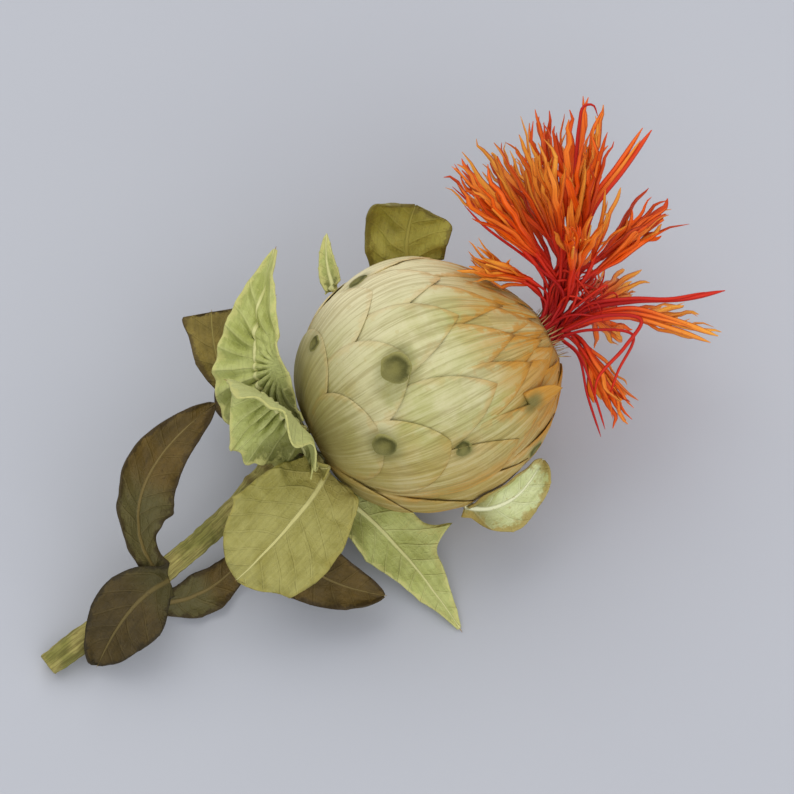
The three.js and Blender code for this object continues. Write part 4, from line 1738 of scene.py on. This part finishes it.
    def build(self) -> list[Piece]:
        """Builds every blade as its own piece, and the small bractlets round the base as one.

        Returns:
            The finished pieces.
        """
        shop = self.shop
        blades = [*self.bracts, *self.outer_bracts, *self.scale_tips, *self.stem_leaves]
        pieces = [blade.build(shop) for blade in blades]
        rings = [
            shop.ring(
                blade.shape(shop.form),
                shop.leaves[blade.leaf],
                count=count,
                first_roll=first,
                roll_spread=9.0,
                tilt_spread=4.0,
                mouth_shift=0.0,
                dent=0.6,
                seed=blade.seed,
            )
            for count, first, blade in self.bractlets
        ]
        return [*pieces, finish_piece("base_bractlets", rings)]


# ---- the florets


@dataclass(frozen=True)
class Lock:
    """A lock of florets: its heading's angle and roll in degrees, how far they spread, and its florets.

    knee is the place along the axis where its tubes turn, out is how far from the axis they turn, and shut is
    the share of its florets that never opened.
    """

    angle: float
    roll: float
    spread: tuple[float, float]
    count: int
    length: float
    knee: float = 17.0
    out: tuple[float, float] = (0.4, 2.4)
    shut: float = 0.12


@dataclass(frozen=True)
class Strand:
    """One strand that shows by itself, with its ripeness at its ends and how far a bud swells it."""

    radius: float
    ripeness: tuple[float, float]
    tone: float
    bud: float
    points: tuple[Point, ...]


@dataclass(frozen=True)
class Bloom:
    """A floret above its tube: where the tube splits, its heading, length and tone, and if it is shut."""

    throat: Array
    heading: Array
    length: float
    tone: float
    shut: bool


@dataclass
class Strands:
    """Paths in space with a radius, a twist and values for the finish at each point."""

    points: list[Array] = field(default_factory=list)
    values: dict[str, list[Array]] = field(default_factory=dict)

    def add(self, points: Array, twist: Array | float = 0.0, **values: Array | float) -> None:
        """Adds one path, with an array or one number for each value."""
        self.points.append(points)
        for key, value in {"twist": twist, **values}.items():
            self.values.setdefault(key, []).append(np.broadcast_to(value, len(points)).astype(float))

    def mesh(self, name: str) -> Mesh:
        """A mesh of edges along the paths.

        Args:
            name: its name.

        Returns:
            The new mesh.
        """
        mesh = bpy.data.meshes.new(name)
        edges = []
        start = 0
        for path in self.points:
            edges += [(start + i, start + i + 1) for i in range(len(path) - 1)]
            start += len(path)
        mesh.from_pydata(np.concatenate(self.points).tolist(), edges, [])
        store(mesh, {key: np.concatenate(parts) for key, parts in self.values.items()})
        return mesh


@dataclass
class FloretTuft:
    """The tuft: florets with slender red tubes that splay out of the mouth and split into narrow lobes."""

    shop: Workshop
    locks: tuple[Lock, ...] = (
        Lock(88, 88, (23, 32), 18, 18.8),
        Lock(60, 80, (9, 32), 8, 18.2),
        Lock(19, 66, (12, 40), 5, 13.8),
        Lock(33, -92, (8, 9), 1, 15.0),
        Lock(87, -90, (9, 12), 4, 11.8, knee=15.4),
        Lock(130, 50, (4, 10), 4, 10.4, knee=15.6, out=(2.0, 3.0)),
        Lock(62, 44, (20, 20), 5, 12.6),
        Lock(68, 176, (20, 38), 10, 14.0),
    )
    leads: tuple[Strand, ...] = (
        Strand(0.36, (0.2, 0.65), 0.15, 0.0, (
            (17.0, 0.5, 0.8), (19.6, 4.0, 2.0), (22.8, 7.5, 3.0), (27.2, 9.6, 2.9), (31.7, 11.8, 2.2),
        )),
        Strand(0.3, (0.3, 0.8), 0.45, 0.0, (
            (17.2, 0.6, 1.0), (19.7, 4.3, 2.2), (22.7, 8.0, 3.1), (27.0, 10.2, 3.0), (31.0, 12.4, 2.3),
        )),
        Strand(0.22, (0.3, 0.95), 0.8, 0.0, (
            (17.0, 0.4, 1.2), (19.9, 4.2, 2.4), (23.0, 7.8, 3.4), (27.2, 9.9, 3.3), (30.2, 11.4, 2.8),
        )),
        Strand(0.21, (0.1, 0.3), 0.5, 0.0, (
            (17.0, 0.8, 0.8), (19.4, 4.4, 2.4), (21.9, 9.6, 2.6), (25.6, 15.6, 2.2), (26.8, 17.0, 2.2),
            (27.7, 16.7, 2.2), (27.6, 15.5, 2.4),
        )),
        Strand(0.15, (0.1, 0.2), 0.4, 0.0, (
            (14.2, -0.6, 1.4), (16.2, 1.2, 1.6), (15.4, 6.4, 2.4), (13.0, 12.2, 2.0), (11.6, 16.0, 1.6),
        )),
        Strand(0.15, (0.1, 0.35), 0.5, 0.0, (
            (14.2, -0.4, 1.8), (16.4, 1.4, 2.2), (15.2, 5.4, 2.8), (12.6, 11.0, 2.0), (11.8, 13.8, 1.2),
        )),
        Strand(0.26, (0.1, 0.35), 0.3, 0.08, (
            (15.0, -1.4, 0.8), (17.6, -1.0, 1.6), (22.2, -2.4, 2.0), (26.6, -4.4, 1.6), (30.9, -5.7, 1.0),
        )),
        Strand(0.2, (0.1, 0.4), 0.5, 0.0, (
            (15.0, -1.2, 1.0), (17.8, -0.6, 1.9), (22.0, -2.0, 2.4), (25.6, -3.9, 2.1), (29.0, -4.9, 1.4),
        )),
        Strand(0.27, (0.35, 1.0), 0.9, 0.1, (
            (15.0, -1.8, 0.8), (17.8, -1.8, 1.8), (21.8, -3.0, 2.4), (25.0, -6.0, 2.0), (28.2, -9.4, 1.0),
        )),
        Strand(0.24, (0.35, 1.1), 0.7, 0.08, (
            (15.0, -1.9, 1.0), (17.6, -2.2, 2.1), (21.4, -3.8, 2.7), (24.4, -6.6, 2.2), (27.2, -9.6, 1.2),
        )),
        Strand(0.2, (0.35, 0.9), 0.6, 0.0, (
            (15.0, -1.7, 1.2), (18.0, -1.9, 2.3), (21.8, -3.6, 2.9), (24.0, -5.4, 2.6), (26.2, -7.4, 2.0),
        )),
        Strand(0.13, (0.1, 0.2), 0.4, 0.0, (
            (14.2, -2.6, 1.6), (14.9, -4.6, 2.0), (13.9, -8.6, 1.8), (13.2, -12.9, 1.2),
        )),
        Strand(0.13, (0.1, 0.3), 0.5, 0.0, (
            (14.2, -2.4, 1.8), (15.0, -4.4, 2.2), (14.6, -8.4, 2.2), (13.9, -12.4, 1.6),
        )),
        Strand(0.19, (0.1, 0.4), 0.4, 0.0, (
            (14.6, -1.8, 1.6), (18.6, -2.2, 3.0), (22.0, -4.4, 3.4), (19.4, -6.0, 3.2), (15.5, -7.6, 2.6),
            (14.2, -9.6, 2.0),
        )),
        Strand(0.15, (0.1, 0.4), 0.4, 0.0, (
            (14.6, -2.2, 1.4), (17.2, -3.0, 2.4), (20.6, -5.4, 2.8), (17.6, -7.9, 2.6), (15.4, -10.0, 2.0),
        )),
    )
    tube_radius: float = 0.19
    lobe_width: float = 0.35
    lobe_count: int = 5
    tangle: int = 30
    tangle_middle: Point = (18.6, 0.6, 1.4)
    tangle_size: Point = (3.0, 4.6, 2.4)
    side_reach: float = 19.2
    draw: np.random.Generator = field(default_factory=partial(np.random.default_rng, 25))
    tubes: Strands = field(default_factory=Strands)
    lobes: Strands = field(default_factory=Strands)

    def floret(self, lock: Lock) -> None:
        """Adds the tube, the lobes and the style of one floret of a lock.

        Args:
            lock: the lock.
        """
        form = self.shop.form
        draw = self.draw.uniform
        angle = math.radians(lock.angle + lock.spread[0] * draw(-1, 1))
        roll = lock.roll + lock.spread[1] * draw(-1, 1)
        length = lock.length * draw(0.84, 1.02)
        heading = polar(math.cos(angle), roll, math.sin(angle))
        foot = form.askew(polar(form.mouth_x - 0.9, roll, draw(0.2, 1.8)))
        knee = polar(lock.knee + draw(-0.5, 0.9), roll, draw(*lock.out))
        sideways = HeadFrame().turn()[1]
        room = (self.side_reach - float(sideways @ knee)) / max(float(sideways @ heading), 0.01)
        length = min(length, room)
        throat = knee + heading * length * draw(0.34, 0.46)
        tone = draw()
        wander = Ripples(int(self.draw.integers(1e6)), 5.5)
        share = np.linspace(0, 1, 13)
        path = bezier(foot, knee, throat, share)
        self.tubes.add(
            path + 0.3 * wander.sway(path, 9) * np.sin(share * math.pi)[:, None],
            radius=self.tube_radius * (0.8 + 0.1 * np.sin(9 * share) + 0.6 * share**4),
            ripeness=0.42 * share,
            run=share * length * 0.5,
            tone=tone,
        )
        leaning = outward(roll + 90)
        other = np.cross(heading, leaning)
        turn = draw(0, math.tau)
        bloom = Bloom(throat, heading, length, tone, draw() < lock.shut)
        for k in range(self.lobe_count):
            spin = turn + math.tau * k / self.lobe_count
            self.lobe(bloom, leaning * math.cos(spin) + other * math.sin(spin))
        reach = length * draw(0.3, 0.55)
        tip = throat + heading * reach + leaning * draw(-1, 1)
        share = np.linspace(0, 1, 8)
        self.tubes.add(
            bezier(throat - heading, throat + heading * reach * 0.5, tip, share),
            radius=0.12 + 0.06 * smooth(share, 0.3, 0.5) * (1 - smooth(share, 0.8, 0.9)),
            ripeness=0.6 + 0.5 * share,
            run=share * reach,
            tone=min(1.0, tone + 0.3),
        )

    def lobe(self, bloom: Bloom, away: Array) -> None:
        """Adds one narrow lobe that leans away from its floret and may curl at its tip.

        Args:
            bloom: its floret.
            away: the way that it leans, one long.
        """
        draw = self.draw.uniform
        heading = bloom.heading
        reach = bloom.length * draw(0.46, 0.7)
        share = np.linspace(0, 1, 14)
        lean = draw(0.0, 0.05) if bloom.shut else draw(0.1, 1.0) ** 1.6
        start = bloom.throat - heading * 0.7 + away * 0.1
        middle = start + heading * reach * 0.5 + away * (0.15 + 0.7 * lean)
        end = start + heading * (reach + 0.5) * (1 - 0.12 * lean) + away * (0.15 + 2.3 * lean)
        path = bezier(start, middle, end, share)
        curl = 0.0 if bloom.shut else max(0.0, draw(-1.0, 1.0)) ** 3 * 2.4
        path = path - heading * (curl * 0.9 * share**3)[:, None] + away * (curl * 0.8 * share**2)[:, None]
        wander = Ripples(int(self.draw.integers(1e6)), 3.4)
        path = path + wander.sway(path, 7) * (0.24 * share)[:, None]
        profile = (0.5 + 0.5 * smooth(share, 0.0, 0.4)) * np.maximum(0.05, 1 - share**5) ** 0.7
        self.lobes.add(
            Blade.clear_of_globe(path, self.shop.form),
            radius=self.lobe_width * profile * draw(0.75, 1.2),
            twist=draw(0, math.tau) + draw(-1.6, 1.6) * share,
            ripeness=0.55 + 0.65 * share * draw(0.7, 1.2),
            run=share * reach,
            tone=float(np.clip(bloom.tone + draw(-0.3, 0.3), 0, 1)),
        )

    def tangled(self) -> None:
        """Adds one of the short withered strands that lie across each other over the mouth."""
        form = self.shop.form
        draw = self.draw.uniform
        stops = [form.askew(polar(form.mouth_x - 0.6, draw(0, 360), draw(0.3, 1.7)))]
        for _ in range(2):
            way = unit(self.draw.normal(size=3))
            stops.append(np.array(self.tangle_middle) + np.array(self.tangle_size) * way * draw(0.4, 1.0))
        path = smooth_line(stops, 24)
        share = np.linspace(0, 1, len(path))
        start = draw(0.0, 0.2)
        self.tubes.add(
            path,
            radius=draw(0.09, 0.17) * np.maximum(0.1, 1 - share**6),
            ripeness=start + draw(0.1, 0.5) * share,
            run=share * 9,
            tone=draw(0.1, 1.0),
        )

    def lead(self, strand: Strand) -> None:
        """Adds a strand that shows by itself.

        Args:
            strand: the strand.
        """
        path = smooth_line(strand.points, 60)
        share = np.linspace(0, 1, len(path))
        swell = 1 + strand.bud / strand.radius * np.exp(-(((share - 0.86) / 0.16) ** 2))
        low, high = strand.ripeness
        self.tubes.add(
            path,
            radius=strand.radius * swell * np.maximum(0.08, 1 - share**9) ** 0.7,
            ripeness=low + (high - low) * share,
            run=share * 14,
            tone=strand.tone,
        )

    def swept(self, name: str, strands: Strands, sides: int, flatness: float, gutter: float) -> Piece:
        """Makes a piece out of strands that have one kind of section."""
        feed = {"Sides": sides, "Flatness": flatness, "Gutter": gutter, "Material": self.shop.floret}
        mesh = grow(self.shop.trees.sweep, strands.mesh(name), feed)
        return finish_piece(name, [mesh], ["floret_tuft"])

    def build(self) -> list[Piece]:
        """Builds and dresses the whole tuft.

        Returns:
            The finished pieces.
        """
        for lock in self.locks:
            for _ in range(lock.count):
                self.floret(lock)
        for _ in range(self.tangle):
            self.tangled()
        for strand in self.leads:
            self.lead(strand)
        return [
            self.swept("floret_tubes", self.tubes, 6, 0.85, 0.0),
            self.swept("floret_lobes", self.lobes, 8, 0.3, 0.55),
        ]


# ---- the stem


@dataclass
class Stem:
    """The ribbed stem, which widens into the disc under the globe and ends in a square cut.

    line is its middle, knots are shares of its length, and each ring of the cut has its share of the stem's
    radius, how far it is sunk and how pithy it is.
    """

    shop: Workshop
    line: tuple[Point, ...] = (
        (-46.0, -7.6, 1.25),
        (-38.5, -6.2, 0.7),
        (-31.5, -4.6, 0.4),
        (-25.0, -3.1, 0.3),
        (-19.0, -1.0, 0.1),
        (-15.4, 0.0, 0.0),
        (-12.5, 0.0, 0.0),
    )
    knots: tuple[float, ...] = (0.36, 0.41, 0.79, 0.85)
    cut: tuple[Point, ...] = (
        (0.05, 0.24, 1.0),
        (0.35, 0.2, 1.0),
        (0.62, 0.12, 1.0),
        (0.7, 0.0, 1.0),
        (0.93, -0.05, 0.3),
    )
    rings: int = 190
    sides: int = 50
    ribs: int = 10

    def build(self) -> list[Piece]:
        """Builds and dresses the stem.

        Returns:
            The finished pieces.
        """
        form = self.shop.form
        middle = smooth_line(self.line, self.rings)
        share = np.linspace(0, 1, self.rings)
        along = unit(np.gradient(middle, axis=0))
        side = unit(np.cross(along, [0.0, 0.0, 1.0]))
        up = np.cross(side, along)
        turn = np.linspace(0, math.tau, self.sides, endpoint=False)
        s, angle = np.meshgrid(share, turn, indexing="ij")
        knot = sum(np.exp(-(((s - k) / 0.012) ** 2)) for k in self.knots)
        rounded = np.abs(np.cos(self.ribs / 2 * angle + 3.0 * s)) ** 0.7
        radius = form.stem_radius * (1.02 - 0.1 * s) * (0.93 + 0.12 * rounded) + 0.16 * knot
        widening = np.maximum(0, (s - 0.86) / 0.14) ** 2
        radius = radius + (form.disc_radius - form.stem_radius) * widening
        heading = side[:, None] * np.cos(angle)[..., None] + up[:, None] * np.sin(angle)[..., None]
        skin = middle[:, None] + heading * radius[..., None]
        rough = 0.035 * Ripples(5, 1.3).at(skin) + 0.05 * Ripples(6, 6.0).at(skin)
        skin = skin + heading * rough[..., None]
        values = {"run": s * 36, "across": angle * form.stem_radius, "knot": np.clip(knot, 0, 1)}
        grid, values = self.with_cut(skin, middle[0], along[0], {**values, "pith": 0 * s})
        mesh = closed_tube(grid, values).mesh("stem", self.shop.stem)
        return [finish_piece("ribbed_stem", [mesh], ["stem"])]

    def with_cut(
        self, skin: Array, centre: Array, along: Array, values: Mapping[str, Array]
    ) -> tuple[Array, dict[str, Array]]:
        """Adds the rings of the pithy, sunken cut face in front of the stem's own rings.

        Args:
            skin: the stem's rings of points.
            centre: the middle of the first ring.
            along: the stem's heading there.
            values: the values at the rings.

        Returns:
            All the rings, from the middle of the cut on, and the values at them.
        """
        rim = skin[0]
        rings = []
        for share, sunk, _ in self.cut:
            bumps = 0.05 * Ripples(9, 0.9).at(rim * share + 3)
            rings.append(centre + (rim - centre) * share + along * (sunk + bumps)[:, None])
        flat = np.zeros((len(rings), self.sides))
        longer = {key: np.concatenate([flat, value]) for key, value in values.items()}
        longer["pith"][: len(rings)] = [[pith] for _, _, pith in self.cut]
        return np.concatenate([rings, skin]), longer


# ---- bristles and spines


@dataclass
class Bristles:
    """Short stiff bristles in the mouth, and the spines at the ends of the blades."""

    shop: Workshop
    foliage: Foliage
    mouth_count: int = 46
    spine_length: float = 0.7
    seed: int = 61

    def standing(self, values: Mapping[str, Array], points: Array, feed: Feed) -> Mesh:
        """A bristle on each point, as one mesh.

        Args:
            values: each one's heading, and its size in millimetres.
            points: where they stand.
            feed: how slender they are, how unequal, and the seed for that.

        Returns:
            All of them.
        """
        mesh = bpy.data.meshes.new("points")
        mesh.from_pydata(points.tolist(), [], [])
        store(mesh, values)
        return grow(self.shop.trees.scatter, mesh, {**feed, "Material": self.shop.bristle})

    def build(self) -> list[Piece]:
        """Builds and dresses the bristles and the spines.

        Returns:
            The finished pieces.
        """
        draw = np.random.default_rng(self.seed)
        form = self.shop.form
        rolls = draw.uniform(0, 360, self.mouth_count)
        out = form.mouth_radius * draw.uniform(0.55, 0.98, self.mouth_count)
        feet = form.askew(polar(form.mouth_x - 1.1, rolls, out))
        ways = unit(outward(rolls) * draw.uniform(0.1, 0.75, (self.mouth_count, 1)) + [1.0, 0.0, 0.0])
        values = {"heading": ways, "size": draw.uniform(1.2, 2.2, self.mouth_count)}
        feed = {"Slenderness": 0.028, "Length Spread": 0.2, "Seed": self.seed}
        bristles = self.standing(values, feet, feed)
        blades = [*self.foliage.bracts, *self.foliage.outer_bracts, *self.foliage.stem_leaves]
        ends = [blade.midrib(np.array([0.985])) for blade in blades]
        tips, ways = (np.concatenate(both) for both in zip(*ends))
        values = {"heading": ways, "size": np.full(len(blades), self.spine_length)}
        feed = {"Slenderness": 0.16, "Length Spread": 0.25, "Seed": self.seed + 1}
        spines = self.standing(values, tips, feed)
        return [
            finish_piece("mouth_bristles", [bristles]),
            finish_piece("leaf_spines", [spines]),
        ]


# ---- the studio


@dataclass(frozen=True)
class Lamp:
    """A soft square light that looks at the globe, by its way to the right, up and back of the picture."""

    name: str
    way: Point
    distance: float
    size: float
    power: float
    colour: Point


@dataclass
class Studio:
    """A pale floor, soft light from the upper left, and a camera that looks down as the photograph does."""

    lamps: tuple[Lamp, ...] = (
        Lamp("key", (-0.3, 1.0, 0.65), 1.1, 1.2, 5.3, (1.0, 0.985, 0.95)),
        Lamp("fill", (0.3, -0.4, 0.9), 1.3, 1.3, 7.2, (0.95, 0.97, 1.0)),
    )
    room_colour: Colour = (0.93, 0.95, 1.0, 1.0)
    room_strength: float = 0.66
    floor_half: float = 3.0
    lamp_target: Point = (0.0, 0.0, 0.01)
    azimuth: float = -25.0
    elevation: float = 63.0
    frame_width: float = 79.2
    middle: tuple[float, float] = (0.533, 0.483)
    lens: float = 180.0
    sensor: float = 36.0

    def axes(self) -> tuple[Vector, Vector, Vector]:
        """The ways to the right, up and back of the picture.

        Returns:
            Three directions, each one long.
        """
        a, e = math.radians(self.azimuth), math.radians(self.elevation)
        back = Vector((math.sin(a) * math.cos(e), -math.cos(a) * math.cos(e), math.sin(e)))
        right = Vector((math.cos(a), math.sin(a), 0))
        return right, back.cross(right), back

    def camera(self) -> None:
        """Sets the camera up so that the globe lies where the photograph has it."""
        right, up, back = self.axes()
        width = self.frame_width * MM
        globe = Vector((0, 0, HeadFrame().belly_height * MM))
        target = globe - right * (self.middle[0] - 0.5) * width + up * (self.middle[1] - 0.5) * width
        data = bpy.data.cameras.new("camera")
        data.lens = self.lens
        data.sensor_width = self.sensor
        data.clip_start = 0.01
        data.clip_end = 20
        camera = in_scene("camera", data)
        camera.location = target + back * width * self.lens / self.sensor
        camera.rotation_mode = "QUATERNION"
        camera.rotation_quaternion = Matrix((right, up, back)).transposed().to_quaternion()
        bpy.context.scene.camera = camera

    def light(self, lamp: Lamp) -> None:
        """Adds a lamp.

        Args:
            lamp: the lamp.
        """
        data = bpy.data.lights.new(lamp.name, "AREA")
        data.shape = "SQUARE"
        data.size = lamp.size
        data.energy = lamp.power
        data.color = lamp.colour
        way = Matrix(self.axes()).transposed() @ Vector(lamp.way)
        shown = in_scene(lamp.name, data)
        shown.location = Vector(self.lamp_target) + way.normalized() * lamp.distance
        shown.rotation_mode = "QUATERNION"
        shown.rotation_quaternion = way.to_track_quat("Z", "Y")

    def floor(self, effects: Effects) -> None:
        """Lays the floor.

        Args:
            effects: the shared shader groups.
        """
        mesh = bpy.data.meshes.new("floor")
        half = self.floor_half
        corners = [(-half, -half, 0), (half, -half, 0), (half, half, 0), (-half, half, 0)]
        mesh.from_pydata(corners, [], [(0, 1, 2, 3)])
        mesh.materials.append(FloorFinish().material(effects))
        in_scene("floor", mesh)

    def build(self, effects: Effects) -> None:
        """Sets up the floor, the lights, the surrounding light and the camera.

        Args:
            effects: the shared shader groups.
        """
        self.floor(effects)
        for lamp in self.lamps:
            self.light(lamp)
        world = bpy.data.worlds.new("soft_room")
        world.use_nodes = True
        background = world.node_tree.nodes["Background"].inputs
        background["Color"].default_value = self.room_colour
        background["Strength"].default_value = self.room_strength
        bpy.context.scene.world = world
        bpy.context.scene.view_settings.view_transform = "Standard"
        self.camera()


def main() -> None:
    """Builds the sub-assemblies in order and reports each piece."""
    logging.basicConfig(level=logging.INFO, format="%(message)s")
    effects = Effects()
    shop = Workshop.fitted_out(effects)
    Studio().build(effects)
    foliage = Foliage(shop)
    for assembly in (PaperyGlobe(shop), foliage, FloretTuft(shop), Stem(shop), Bristles(shop, foliage)):
        for piece in assembly.build():
            LOG.info("finished %s", piece.name)


if __name__ == "__main__":
    main()
